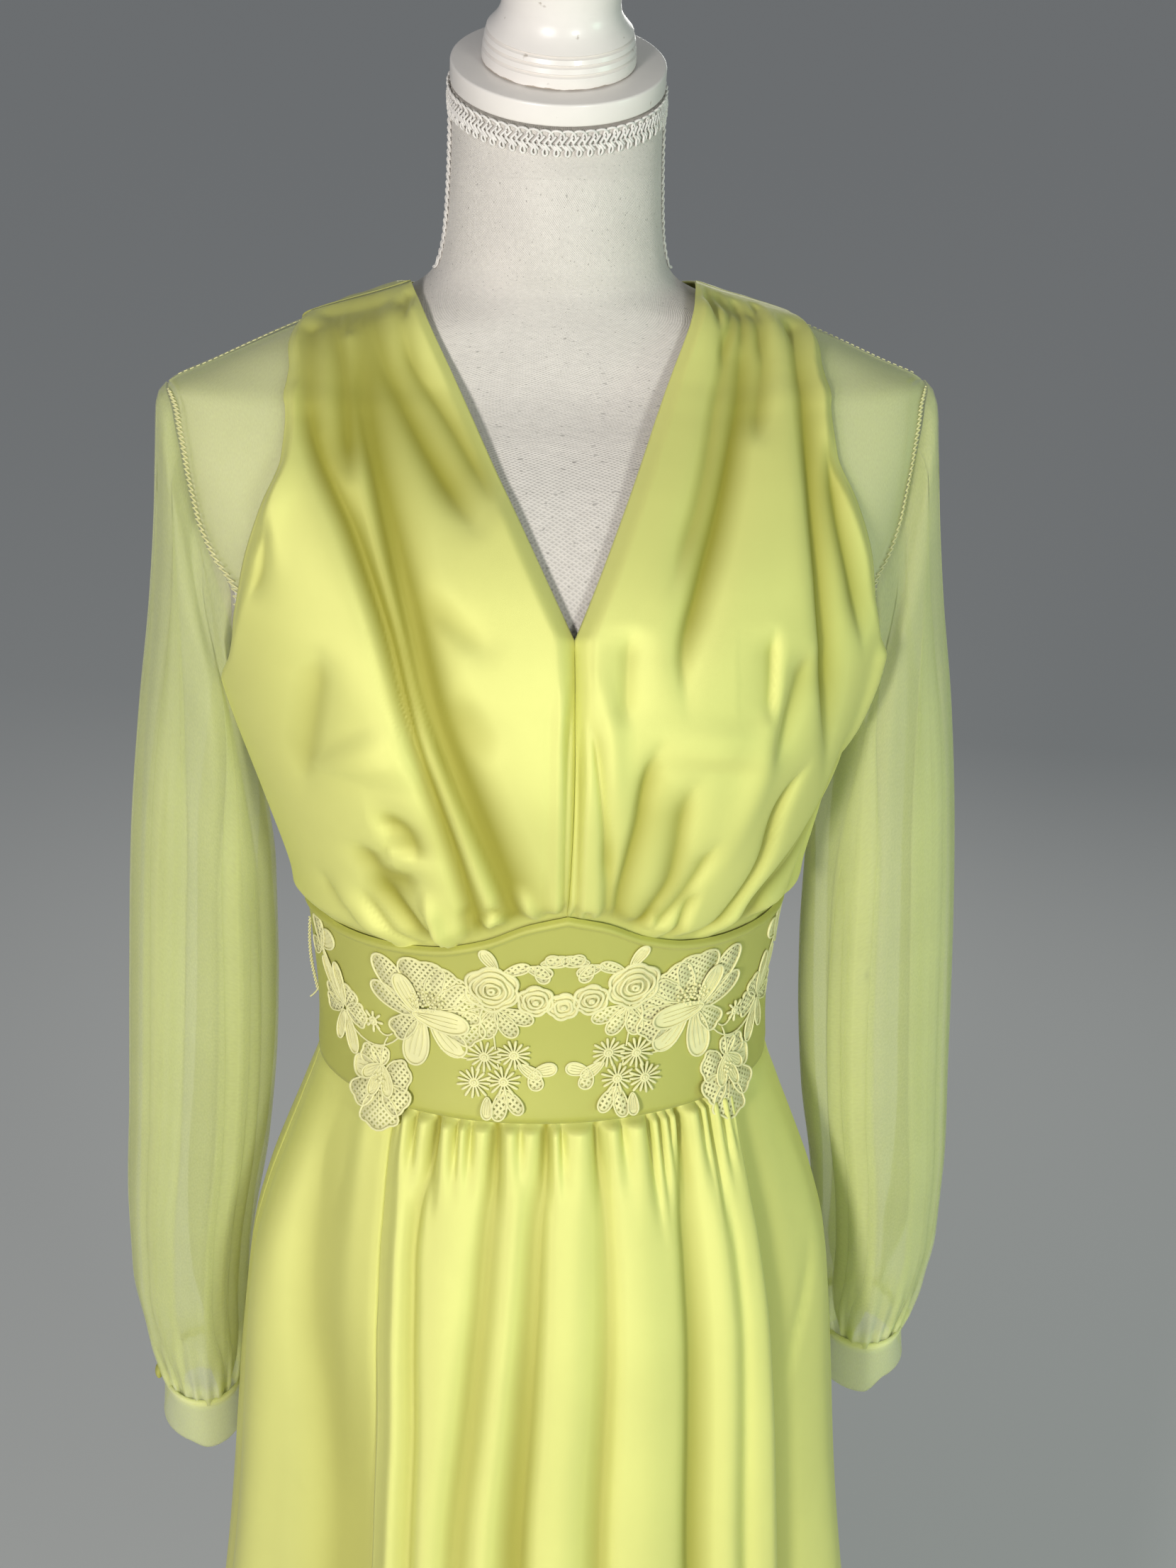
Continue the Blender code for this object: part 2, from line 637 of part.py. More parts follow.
def sleeve_rings(lift, reach):
    """The rings of the right sleeve, from the armhole to the cuff."""
    columns = fold_columns(SLEEVE_FOLDS)[:-1]
    rings = [[armhole_point(share) for share, rise, fold in columns]]
    count = len(SLEEVE_ROWS)
    for index, row in enumerate(SLEEVE_ROWS):
        lifted = lift * (index / (count - 1)) ** 1.5
        moved = reach * min(1.0, index / (count / 2))
        outer = Vector((row.outer_x + moved, row.middle, row.outer_z + lifted))
        inner = Vector((row.inner_x + moved / 2, row.middle, row.inner_z + lifted))
        centre = (outer + inner) / 2
        across = (outer - inner) / 2
        outer_move = outer - armhole_point(0.0)
        inner_move = inner - armhole_point(0.5)
        ring = []
        for share, rise, fold in columns:
            turn = 2 * math.pi * share
            spoke = across * math.cos(turn) + Vector((0.0, -row.depth * math.sin(turn), 0.0))
            out = spoke.normalized() * rise * fold.top * row.fold
            move = inner_move.lerp(outer_move, (1 + math.cos(turn)) / 2)
            ring.append((armhole_point(share) + move).lerp(centre + spoke + out, row.round))
        rings.append(ring)
    return rings


def cuff_rings(lift, reach):
    """The right cuff, hanging from the sleeve's last ring."""
    row = SLEEVE_ROWS[-1]
    rings = []
    for share in (0.0, 1.0):
        drop = CUFF_GAP + CUFF_DEPTH * share
        taper = CUFF_TAPER * share
        middle = (row.outer_x + row.inner_x) / 2 + reach * 0.75
        centre = Vector((middle, row.middle, (row.outer_z + row.inner_z) / 2 + lift - drop))
        half = (row.outer_x - row.inner_x) / 2 + reach / 4 - taper
        tip = (row.outer_z - row.inner_z) / 2
        ring = []
        for column in range(CUFF_COLUMNS):
            turn = 2 * math.pi * column / CUFF_COLUMNS
            across = Vector((half * math.cos(turn), -(row.depth - taper) * math.sin(turn), 0.0))
            across.z = tip * math.cos(turn)
            ring.append(centre + across)
        rings.append(ring)
    return rings


def sleeve_and_cuff(side, sheer, satin, collection):
    """A sleeve with its cuff and the covered button on it."""
    lift = RIGHT_SLEEVE_LIFT if side == "right" else 0.0
    reach = RIGHT_SLEEVE_REACH if side == "right" else 0.0
    sleeve = sleeve_rings(lift, reach)
    cuff = cuff_rings(lift, reach)
    row = SLEEVE_ROWS[-1]
    out = reach + CUFF / 2 + TOUCH
    seat = Vector((row.outer_x + out, row.middle, row.outer_z + lift - BUTTON_DROP))
    if side == "left":
        sleeve = mirrored(sleeve)
        cuff = mirrored(cuff)
        seat.x = -seat.x
    cloth("sleeve_" + side, sleeve, SHEER, sheer, collection, ring=True)
    cloth("cuff_" + side, cuff, CUFF, sheer, collection, ring=True)
    bpy.ops.mesh.primitive_cylinder_add(vertices=14, radius=BUTTON_RADIUS, depth=BUTTON_THICKNESS)
    button = bpy.context.object
    outward = 1 if side == "right" else -1
    button.rotation_euler = (0.0, math.radians(90), 0.0)
    button.location = seat + Vector((outward * BUTTON_THICKNESS / 2, 0.0, 0.0))
    adopt(button, "cuff_button_" + side, satin, collection)


def adopt(made, name, material, collection):
    """Name a primitive, give it its material and move it to the collection."""
    made.name = name
    made.data.name = name
    made.data.materials.append(material)
    for old in list(made.users_collection):
        old.objects.unlink(made)
    collection.objects.link(made)
    made.data.shade_smooth()
    made.data.set_sharp_from_angle(angle=math.radians(40))


def turned(name, rows, sides, material, collection, matrix):
    """A solid of revolution from its half outline, top to bottom."""
    mesh = bpy.data.meshes.new(name)
    points = [(row.radius, 0.0, row.height) for row in rows]
    edges = [(k, k + 1) for k in range(len(points) - 1)]
    mesh.from_pydata(points, edges, [])
    made = bpy.data.objects.new(name, mesh)
    mesh.materials.append(material)
    collection.objects.link(made)
    made.matrix_world = matrix
    screw = made.modifiers.new("Turn", "SCREW")
    screw.steps = sides
    screw.render_steps = sides
    screw.use_merge_vertices = True
    screw.merge_threshold = 0.00005
    screw.use_smooth_shade = True
    return made


def motif_outline(motif):
    """The flat outline of one motif, in centimetres."""
    outline = []
    if motif.kind == "leaf":
        length, half = motif.size, motif.petals
        count = LEAF_POINTS if motif.petals > 0.35 else LEAF_POINTS - 1
        for k in range(count):
            turn = 2 * math.pi * k / count
            x = length * (1 - math.cos(turn)) / 2
            y = -half * math.sin(turn) * (0.85 + 0.35 * x / length)
            outline.append((x, y))
    elif motif.kind == "daisy":
        for k in range(2 * motif.petals):
            turn = math.pi * k / motif.petals
            reach = motif.size if k % 2 == 0 else motif.size * 0.80
            outline.append((reach * math.cos(turn), reach * math.sin(turn)))
    elif motif.kind == "bloom":
        for k in range(3 * motif.petals):
            turn = 2 * math.pi * k / (3 * motif.petals)
            reach = motif.size * (0.80 if k % 3 == 0 else 1.0)
            outline.append((reach * math.cos(turn), reach * math.sin(turn)))
    else:
        count = max(10, 2 * motif.petals)
        for k in range(count):
            turn = 2 * math.pi * k / count
            dip = 0.10 * motif.size if motif.petals and k % 2 else 0.0
            outline.append(((motif.size - dip) * math.cos(turn), (motif.size - dip) * math.sin(turn)))
    turn = math.radians(motif.turn)
    c, s = math.cos(turn), math.sin(turn)
    return [(motif.along + x * c - y * s, motif.up + x * s + y * c) for x, y in outline]


def arc_angles():
    """The angle round the band for each distance along it from the centre front."""
    height = (WAIST + BAND_TOP_AT(60.0)) / 2
    reach = [0.0]
    angles = [0.0]
    for step in range(1, 121):
        angle = step * 1.5
        gap = (on_body(angle, height) - on_body(angle - 1.5, height)).length
        reach.append(reach[-1] + gap)
        angles.append(angle)
    return smooth_curve(reach, angles)


def inside(point, outline):
    """Whether a flat point lies inside an outline."""
    crossings = 0
    for (ax, ay), (bx, by) in zip(outline, outline[1:] + outline[:1]):
        if (ay > point.y) != (by > point.y):
            if point.x < ax + (point.y - ay) / (by - ay) * (bx - ax):
                crossings += 1
    return crossings % 2 == 1


def joined_outlines(outlines):
    """The outer and inner edges of overlapping flat outlines, as points and edges."""
    points = []
    faces = []
    for outline in outlines:
        faces.append(list(range(len(points), len(points) + len(outline))))
        points.extend(Vector(p) for p in outline)
    found = delaunay_2d_cdt(points, [], faces, 0, FLAT_MERGE, True)
    uses = {}
    for face, source in zip(found[2], found[5]):
        if source:
            for a, b in zip(face, face[1:] + face[:1]):
                edge = (min(a, b), max(a, b))
                uses[edge] = uses.get(edge, 0) + 1
    edges = [edge for edge, count in uses.items() if count == 1]
    corners = sorted({k for edge in edges for k in edge})
    place = {k: n for n, k in enumerate(corners)}
    return [found[0][k] for k in corners], [(place[a], place[b]) for a, b in edges]


def lace_applique(material, collection):
    """All motifs joined flat, then laid on the band's own points, moved out."""
    outlines = [motif_outline(FLORET), motif_outline(CENTRE_LEAF)]
    for motif in LACE_MOTIFS:
        outline = motif_outline(motif)
        outlines.append(outline)
        outlines.append([(-x, y) for x, y in reversed(outline)])
    flat, edges = joined_outlines(outlines)
    points = [Vector(p) for p in flat]
    for column in range(-BAND_COLUMNS, BAND_COLUMNS + 1):
        x = column * BAND_STEP * 100
        edges.append((len(points), len(points) + 1))
        points += [Vector((x, LACE_LOW)), Vector((x, LACE_HIGH))]
    for level in LACE_BENDS:
        y = level * BAND_LEVEL * 100
        edges.append((len(points), len(points) + 1))
        points += [Vector((-LACE_REACH, y)), Vector((LACE_REACH, y))]
    found = delaunay_2d_cdt(points, edges, [], 0, FLAT_MERGE, False)
    kept = []
    for face in found[2]:
        middle = sum((found[0][k] for k in face), Vector((0.0, 0.0))) / len(face)
        if any(inside(middle, outline) for outline in outlines):
            kept.append(face)
    angle_of = arc_angles()
    used = sorted({k for face in kept for k in face})
    place = {k: n for n, k in enumerate(used)}
    spots = []
    for k in used:
        along, up = found[0][k]
        angle = math.copysign(angle_of(abs(along) / 100), along)
        below = min(1.0, max(0.0, 1.0 - up / STAND_OFF_FROM))
        stand_off = LACE_STAND_OFF * below**2 * (3 - 2 * below)
        out = BAND / 2 + TOUCH + LACE_EASE + LACE / 2 + stand_off
        spots.append(on_body(angle, WAIST + up / 100, out))
    mesh = bpy.data.meshes.new("lace_applique")
    mesh.from_pydata(spots, [], [[place[k] for k in face] for face in kept])
    made = new_object("lace_applique", mesh, material, collection)
    wall = made.modifiers.new("Wall", "SOLIDIFY")
    wall.thickness = LACE
    wall.offset = 0.0
    wall.use_even_offset = False
    return made


def torso(material, collection):
    """The padded torso and neck, closed at both ends, lying inside the dress."""
    sides = TORSO_SIDES
    rings = []
    for row in FORM_ROWS:
        ring = [on_body(360.0 * k / sides, row.height, -row.inset) for k in range(sides)]
        for point in ring:
            if row.height < WAIST:
                point.z = row.height
        rings.append(ring)
    tilt = math.tan(math.radians(CAP_TILT))
    for rise in (0.6, 1.0):
        ring = []
        for k in range(sides):
            angle = 360.0 * k / sides
            top = NECK_TOP.z - 0.0010 + (on_body(angle, NECK_TOP.z).y - NECK_TOP.y) * tilt
            ring.append(on_body(angle, mix(FORM_ROWS[-1].height, top, rise)))
        rings.append(ring)
    points = [point for ring in rings for point in ring]
    faces = []
    for r in range(len(rings) - 1):
        for k in range(sides):
            side = (k + 1) % sides
            faces.append((r * sides + k, r * sides + side, (r + 1) * sides + side, (r + 1) * sides + k))
    faces.append(tuple(reversed(range(sides))))
    start = (len(rings) - 1) * sides
    faces.append(tuple(range(start, start + sides)))
    mesh = bpy.data.meshes.new("form_torso")
    mesh.from_pydata(points, [], faces)
    body = bmesh.new()
    body.from_mesh(mesh)
    bmesh.ops.recalc_face_normals(body, faces=body.faces)
    body.to_mesh(mesh)
    body.free()
    made = new_object("form_torso", mesh, material, collection)
    mesh.set_sharp_from_angle(angle=math.radians(40))
    return made


def neck_braids(material, collection):
    """The gimp braid round the neck's top and the narrow ones down its sides."""
    sides = 32
    tilt = math.tan(math.radians(CAP_TILT))
    out = TOUCH + BRAID_THICKNESS / 2
    rows = []
    for drop in (0.0015, 0.0015 + BRAID_HEIGHT):
        ring = []
        for k in range(sides):
            angle = 360.0 * k / sides
            top = NECK_TOP.z + (on_body(angle, NECK_TOP.z).y - NECK_TOP.y) * tilt
            ring.append(on_body(angle, top - drop, out))
        rows.append(ring)
    cloth("neck_braid", rows, BRAID_THICKNESS, material, collection, ring=True)
    strip = []
    top = NECK_TOP.z - BRAID_HEIGHT - 0.0040
    for step in range(SIDE_BRAID_STEPS + 1):
        height = mix(top, SIDE_BRAID_FOOT, step / SIDE_BRAID_STEPS)
        half_angle = beside(90.0, height, SIDE_BRAID_HALF) - 90.0
        strip.append([on_body(90.0 - half_angle, height, out), on_body(90.0 + half_angle, height, out)])
    pair("neck_side_braid", strip, BRAID_THICKNESS, material, collection)


def neck_cap_and_finial(wood, collection):
    """The tilted wooden disc on the neck and the turned finial on the disc."""
    lean = Matrix.Rotation(math.radians(CAP_TILT), 4, "X")
    axis = lean @ Vector((0.0, 0.0, 1.0))
    seat = NECK_TOP + axis * (CAP_THICKNESS / 2 + TOUCH)
    bpy.ops.mesh.primitive_cylinder_add(vertices=32, radius=CAP_RADIUS, depth=CAP_THICKNESS)
    cap = bpy.context.object
    cap.matrix_world = Matrix.Translation(seat) @ lean
    adopt(cap, "neck_cap", wood, collection)
    edge = cap.modifiers.new("Rounded edge", "BEVEL")
    edge.width = 0.0020
    edge.segments = 1
    foot = NECK_TOP + axis * (CAP_THICKNESS + 2 * TOUCH)
    turned("finial", FINIAL_ROWS, 20, wood, collection, Matrix.Translation(foot) @ lean)


def stand(wood, collection):
    """The pole under the torso and the plain round base."""
    turned("base", STAND_ROWS, 32, wood, collection, Matrix.Identity(4))
    length = TORSO_FOOT - BASE_HEIGHT - 2 * TOUCH
    bpy.ops.mesh.primitive_cylinder_add(vertices=24, radius=POLE_RADIUS, depth=length)
    pole = bpy.context.object
    pole.location = (0.0, 0.0, BASE_HEIGHT + TOUCH + length / 2)
    adopt(pole, "pole", wood, collection)


def dress(satin, sheer, lace, collection):
    """Every cut piece of the dress."""
    pair("bodice_front", bodice_front_rows(), SATIN, satin, collection)
    pair("bodice_back", bodice_back_rows(), SATIN, satin, collection)
    pair("yoke_front", yoke_rows(BODICE_ROWS, YOKE_ROWS, False), SHEER, sheer, collection)
    pair("yoke_back", yoke_rows(BACK_ROWS, BACK_YOKE_ROWS, True), SHEER, sheer, collection)
    cloth("band_front", band_rows(-BAND_COLUMNS, BAND_COLUMNS), BAND, satin, collection)
    pair("band_back", band_rows(BAND_COLUMNS, 2 * BAND_COLUMNS), BAND, satin, collection)
    centre = skirt_rows(lambda row: -row.left, lambda row: row.right, CENTRE_FOLDS)
    cloth("skirt_front_centre", centre, SATIN, satin, collection)
    right = skirt_rows(lambda row: row.right, lambda row: 90.0, SIDE_FOLDS, 4)
    cloth("skirt_side_front_right", right, SATIN, satin, collection)
    left = skirt_rows(lambda row: row.left, lambda row: 90.0, SIDE_FOLDS, 4)
    cloth("skirt_side_front_left", mirrored(left), SATIN, satin, collection)
    rear = skirt_rows(lambda row: 90.0, lambda row: 180.0, SKIRT_BACK_FOLDS, 4)
    pair("skirt_back", rear, SATIN, satin, collection)
    for name in ("right", "left"):
        sleeve_and_cuff(name, sheer, satin, collection)
    lace_applique(lace, collection)


def main():
    remove_everything()
    collection = bpy.data.collections.new("maxi_dress_on_form")
    bpy.context.scene.collection.children.link(collection)
    satin = finish("yellow_satin", (0.60, 0.61, 0.18), 0.42)
    sheer = finish("yellow_chiffon", (0.60, 0.60, 0.30), 0.75, alpha=0.55)
    lace = finish("guipure_lace", (0.76, 0.73, 0.36), 0.80)
    linen = finish("form_linen", (0.69, 0.65, 0.60), 0.90)
    braid = finish("gimp_braid", (0.78, 0.75, 0.72), 0.80)
    wood = finish("white_painted_wood", (0.81, 0.76, 0.72), 0.35)
    dress(satin, sheer, lace, collection)
    torso(linen, collection)
    neck_braids(braid, collection)
    neck_cap_and_finial(wood, collection)
    stand(wood, collection)


main()
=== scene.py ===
"""A long-sleeved maxi dress on a limbless dress form: cloth, lace, stitching and stand.

Metres, +Z up, the front faces -Y and +X is the viewer's right. Angles run round the body
from 0 at the centre front through 90 at the +X side. Lace is drawn flat, in centimetres
along the midriff band from the centre front and up from its lower seam.
"""

import math
from collections import namedtuple

import bmesh
import bpy
import numpy as np
from mathutils import Matrix, Vector


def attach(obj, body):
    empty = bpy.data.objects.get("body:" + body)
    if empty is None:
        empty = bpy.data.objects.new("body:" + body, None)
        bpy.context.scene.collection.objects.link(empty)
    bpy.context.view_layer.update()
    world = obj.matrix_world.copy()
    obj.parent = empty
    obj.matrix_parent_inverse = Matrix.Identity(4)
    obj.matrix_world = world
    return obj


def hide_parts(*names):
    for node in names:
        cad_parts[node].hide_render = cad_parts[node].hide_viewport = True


bl_info = {
    "name": "Maxi dress on a dress form",
    "version": (1, 0, 0),
    "blender": (4, 5, 0),
    "location": "3D View > Sidebar > Maxi dress",
    "description": "Builds a gathered satin and chiffon maxi dress with lace on its form",
    "category": "Object",
}

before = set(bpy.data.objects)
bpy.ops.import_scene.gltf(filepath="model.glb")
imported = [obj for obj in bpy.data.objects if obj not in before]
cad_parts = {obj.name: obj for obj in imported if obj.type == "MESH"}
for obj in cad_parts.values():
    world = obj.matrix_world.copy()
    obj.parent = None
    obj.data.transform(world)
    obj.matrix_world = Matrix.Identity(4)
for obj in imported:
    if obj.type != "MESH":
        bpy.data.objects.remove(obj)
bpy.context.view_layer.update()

# Heights and places of the dress and its form
HEM = 0.035
WAIST = 1.031
NECK_POINT = 1.287
NECK_SIDE = 1.4262
NECK_SIDE_X = 0.0665
SIDE_SEAM = 89.8
TORSO_FOOT = 0.800
CAP_RADIUS = 0.0495
CAP_THICKNESS = 0.0105
CAP_ROUNDING = 0.0011
CAP_TILT = 18.0
NECK_TOP = Vector((0.0, -0.004, 1.519))
BRAID_HEIGHT = 0.0105
SIDE_BRAID_FOOT = 1.4340
TOUCH = 0.0004
BASE_HEIGHT = 0.024
POLE_RADIUS = 0.015

# Walls, threads and small parts, in metres
BAND_WALL = 0.0011
CUFF_WALL = 0.0010
NET_WALL = 0.0004
SEAM_GAP = 0.00015
OVERCAST_RADIUS = 0.00045
OVERCAST_LOOPS = 104
STITCH_RADIUS = 0.00025
STITCH_ANGLE = 88.2
LOOP_RADIUS = 0.00042
LOOP_ANGLE = -89.0
NECK_GIMP_RADIUS = 0.00060
NECK_GIMP_LOOPS = 62
SIDE_GIMP_RADIUS = 0.00052
SIDE_GIMP_LOOPS = 20
SIDE_GIMP_ANGLE = 86.0
BUTTON_RADIUS = 0.0050
BUTTON_SHAPE = (0.48, 0.9, 0.9)
BUTTON_SEAT = 0.0040

# How far cloth stands off, dips at a seam and overlaps, in metres, and the heights where
# the bust is fullest, where the armhole turns in and where it ends under the arm
FRONT_LIFT = 0.0056
BUST_LIFT = 0.0034
BUST_HEIGHT = 1.265
ARMHOLE_TURN = 1.262
UNDERARM = 1.236
SEAM_DIP = 0.0010
SEAM_REACH = 0.012
TUCK_DEPTH = 0.0014
TUCK_REACH = 0.0035
BAND_OVERLAP = 0.0015
DEEPEST = 0.0012

# Cells of each cloth's grid, across and down
FRONT_GRID = (128, 162)
BACK_GRID = (60, 84)
YOKE_GRID = (36, 60)
BAND_ROW_COUNT = 56
SLEEVE_GRID = (320, 84)
CUFF_GRID = (96, 20)
TORSO_GRID = (120, 116)

# The even light all round
AIR_COLOUR = (0.90, 0.95, 1.0, 1.0)
AIR_STRENGTH = 0.22
Lamp = namedtuple("Lamp", "name place aim size power tone")

# The camera: lens and sensor in millimetres, turns in degrees, places in metres
LENS = 56.3
SENSOR = 36.0
CAMERA_TURN, CAMERA_PITCH, CAMERA_ROLL = 6.5, 21.0, 1.2
CAMERA_DISTANCE, CAMERA_HEIGHT, CAMERA_ASIDE = 1.167, 1.622, 0.021


def table(kind, *rows):
    """Rows with named columns."""
    return tuple(kind(*row) for row in rows)


# Ellipses of the dress: half width, depth to the front and to the back of the middle
BodyRow = namedtuple("BodyRow", "height half_width front back middle")
BODY_ROWS = table(
    BodyRow,
    (0.035, 0.272, 0.262, 0.262, 0.000),
    (0.200, 0.250, 0.236, 0.238, 0.000),
    (0.400, 0.217, 0.200, 0.203, 0.000),
    (0.600, 0.188, 0.165, 0.168, 0.000),
    (0.750, 0.170, 0.143, 0.148, 0.000),
    (0.870, 0.160, 0.128, 0.138, 0.000),
    (0.915, 0.155, 0.122, 0.132, 0.000),
    (0.950, 0.146, 0.114, 0.121, 0.000),
    (0.980, 0.135, 0.106, 0.108, 0.000),
    (1.006, 0.125, 0.099, 0.098, 0.000),
    (1.031, 0.117, 0.094, 0.092, 0.000),
    (1.056, 0.116, 0.093, 0.090, 0.000),
    (1.105, 0.1195, 0.099, 0.090, 0.000),
    (1.140, 0.125, 0.110, 0.091, 0.000),
    (1.180, 0.136, 0.123, 0.095, 0.000),
    (1.220, 0.148, 0.130, 0.099, 0.000),
    (1.260, 0.160, 0.127, 0.102, 0.000),
    (1.300, 0.170, 0.113, 0.103, 0.000),
    (1.340, 0.178, 0.092, 0.096, 0.002),
    (1.365, 0.183, 0.076, 0.084, 0.005),
    (1.379, 0.184, 0.066, 0.074, 0.007),
    (1.388, 0.165, 0.060, 0.068, 0.008),
    (1.411, 0.112, 0.052, 0.058, 0.010),
    (1.427, 0.066, 0.050, 0.056, 0.011),
    (1.437, 0.055, 0.049, 0.053, 0.009),
    (1.460, 0.0503, 0.0485, 0.0500, 0.004),
    (1.500, 0.0490, 0.0480, 0.0485, -0.001),
    (1.545, 0.0490, 0.0480, 0.0485, -0.006),
)

# A bodice front from its shoulder seam down to the band
BodiceRow = namedtuple("BodiceRow", "inner_height outer_angle outer_height spread")
BODICE_ROWS = table(
    BodiceRow,
    (1.4262, SIDE_SEAM, 1.4105, 1.00),
    (1.4190, 70.0, 1.4030, 1.00),
    (1.4080, 52.0, 1.3910, 1.00),
    (1.3920, 43.5, 1.3760, 1.00),
    (1.3680, 45.0, 1.3570, 1.00),
    (1.3400, 51.0, 1.3360, 1.05),
    (1.3130, 57.5, 1.3130, 1.10),
    (1.2870, 63.5, 1.2900, 1.15),
    (1.2640, 74.0, 1.2620, 1.25),
    (1.2400, SIDE_SEAM, 1.2360, 1.35),
    (1.2150, SIDE_SEAM, 1.2100, 1.45),
    (1.1880, SIDE_SEAM, 1.1800, 1.55),
    (1.1660, SIDE_SEAM, 1.1480, 1.60),
    (1.1490, SIDE_SEAM, 1.1210, 1.60),
)
YOKE_ROWS = 8

# A bodice back from its neckline down to the band
BackRow = namedtuple("BackRow", "inner_angle inner_height outer_angle outer_height")
BACK_ROWS = table(
    BackRow,
    (SIDE_SEAM, 1.4262, SIDE_SEAM, 1.4105),
    (55.0, 1.4205, 62.0, 1.4020),
    (26.0, 1.4145, 50.0, 1.3880),
    (0.0, 1.4090, 46.0, 1.3690),
    (0.0, 1.3900, 50.0, 1.3450),
    (0.0, 1.3500, 55.0, 1.3200),
    (0.0, 1.3000, 62.0, 1.2920),
    (0.0, 1.2700, 74.0, 1.2620),
    (0.0, 1.2400, SIDE_SEAM, 1.2360),
    (0.0, 1.1750, SIDE_SEAM, 1.1780),
    (0.0, 1.1210, SIDE_SEAM, 1.1210),
)
BACK_YOKE_ROWS = 7
YOKE_SHARE = 0.76

# The armhole on the body, from the shoulder tip to the underarm
ArmholeRow = namedtuple("ArmholeRow", "share angle height")
ARMHOLE_ROWS = table(
    ArmholeRow,
    (0.00, 90.0, 1.3800),
    (0.09, 81.5, 1.3765),
    (0.18, 78.0, 1.3690),
    (0.30, 77.5, 1.3550),
    (0.42, 79.0, 1.3390),
    (0.54, 78.5, 1.3220),
    (0.66, 73.5, 1.3060),
    (0.76, 66.5, 1.2920),
    (0.88, 74.0, 1.2620),
    (1.00, 90.0, 1.2360),
)

# The top edge of the midriff band
BandRow = namedtuple("BandRow", "angle height")
BAND_TOP = table(
    BandRow,
    (0.0, 1.1490),
    (8.0, 1.1440),
    (18.0, 1.1330),
    (30.0, 1.1250),
    (45.0, 1.1215),
    (65.0, 1.1200),
    (90.0, 1.1200),
    (180.0, 1.1200),
)

# Sleeve rings below the armhole
SleeveRow = namedtuple("SleeveRow", "outer_x outer_z inner_x inner_z middle depth round")
SLEEVE_ROWS = table(
    SleeveRow,
    (0.1874, 1.3740, 0.1574, 1.2270, 0.004, 0.0480, 0.25),
    (0.1895, 1.3500, 0.1530, 1.2080, 0.007, 0.0480, 0.60),
    (0.1920, 1.3150, 0.1465, 1.1880, 0.010, 0.0470, 0.90),
    (0.1965, 1.2700, 0.1415, 1.1600, 0.013, 0.0460, 1.00),
    (0.2045, 1.2100, 0.1385, 1.1250, 0.017, 0.0445, 1.00),
    (0.2110, 1.1400, 0.1385, 1.0800, 0.022, 0.0435, 1.00),
    (0.2150, 1.0700, 0.1400, 1.0300, 0.027, 0.0430, 1.00),
    (0.2190, 0.9900, 0.1460, 0.9650, 0.034, 0.0440, 1.00),
    (0.2230, 0.9150, 0.1565, 0.9050, 0.042, 0.0460, 1.00),
    (0.2230, 0.8750, 0.1605, 0.8700, 0.047, 0.0460, 1.00),
    (0.2180, 0.8400, 0.1625, 0.8370, 0.050, 0.0430, 1.00),
    (0.2125, 0.8150, 0.1650, 0.8120, 0.052, 0.0390, 1.00),
    (0.2100, 0.8020, 0.1665, 0.8000, 0.052, 0.0365, 1.00),
)
CUFF_DEPTH = 0.029
CUFF_TAPER = -0.0004
RIGHT_SLEEVE_LIFT = 0.018
RIGHT_SLEEVE_REACH = 0.008
BUTTON_DROP = 0.0052

# Flat pleats of a sleeve: the share of the way round at the top and at the foot, half the
# width of the lapped cloth in millimetres at its widest, and where the lap starts and ends
Pleat = namedtuple("Pleat", "top foot lap start end")
SLEEVE_PLEATS = table(
    Pleat,
    (0.060, 0.050, 8.0, 0.06, 1.04),
    (0.165, 0.150, 14.0, 0.02, 1.04),
    (0.325, 0.350, 14.0, 0.02, 1.04),
    (0.600, 0.590, 10.0, 0.10, 1.02),
    (0.730, 0.720, 13.0, 0.04, 1.04),
    (0.875, 0.880, 9.0, 0.12, 1.02),
)
PLEAT_STEP = 0.0006
PLEAT_SPREAD = 0.052
WAVE_STRENGTH = 0.65
CUFF_GATHERS = 23
TOP_GATHERS = 31
SHOULDER_LIFT = 0.0022
FOLD_CORE = 0.30
CREASE_STEPS = 14
LEAN_SHARE = 0.75
TINY = 1e-12

# Soft waves between the pleats: share at the top and foot, half width as a share, rise in
# millimetres at the top and at the foot
SleeveWave = namedtuple("SleeveWave", "top foot width high low")
SLEEVE_WAVES = table(
    SleeveWave,
    (0.040, 0.030, 0.030, 0.5, 2.5),
    (0.115, 0.100, 0.024, 1.5, 3.0),
    (0.195, 0.180, 0.028, -0.8, -2.2),
    (0.265, 0.280, 0.022, 1.6, 3.4),
    (0.345, 0.370, 0.026, -0.6, -2.4),
    (0.435, 0.450, 0.030, 0.8, 2.0),
    (0.560, 0.540, 0.030, -0.5, -2.0),
    (0.645, 0.635, 0.026, 1.2, 3.0),
    (0.755, 0.745, 0.028, -0.6, -2.4),
    (0.860, 0.865, 0.024, 1.4, 3.0),
    (0.965, 0.975, 0.024, -0.4, -1.8),
)

# Folds across a panel from its first edge: relative width, then the depth in
# millimetres at the top, in the middle and at the foot of the panel
Fold = namedtuple("Fold", "width top middle foot")
BACK_FOLDS = table(
    Fold,
    (1.0, 0.2, 0.6, 1.4),
    (1.0, 0.4, 0.8, 1.6),
    (1.3, 0.2, 0.4, 0.6),
)
SKIRT_BACK_FOLDS = table(
    Fold,
    (1.1, 0.2, 3.5, 13.0),
    (1.0, 0.4, 5.5, 19.0),
    (1.2, 0.4, 6.0, 21.0),
)

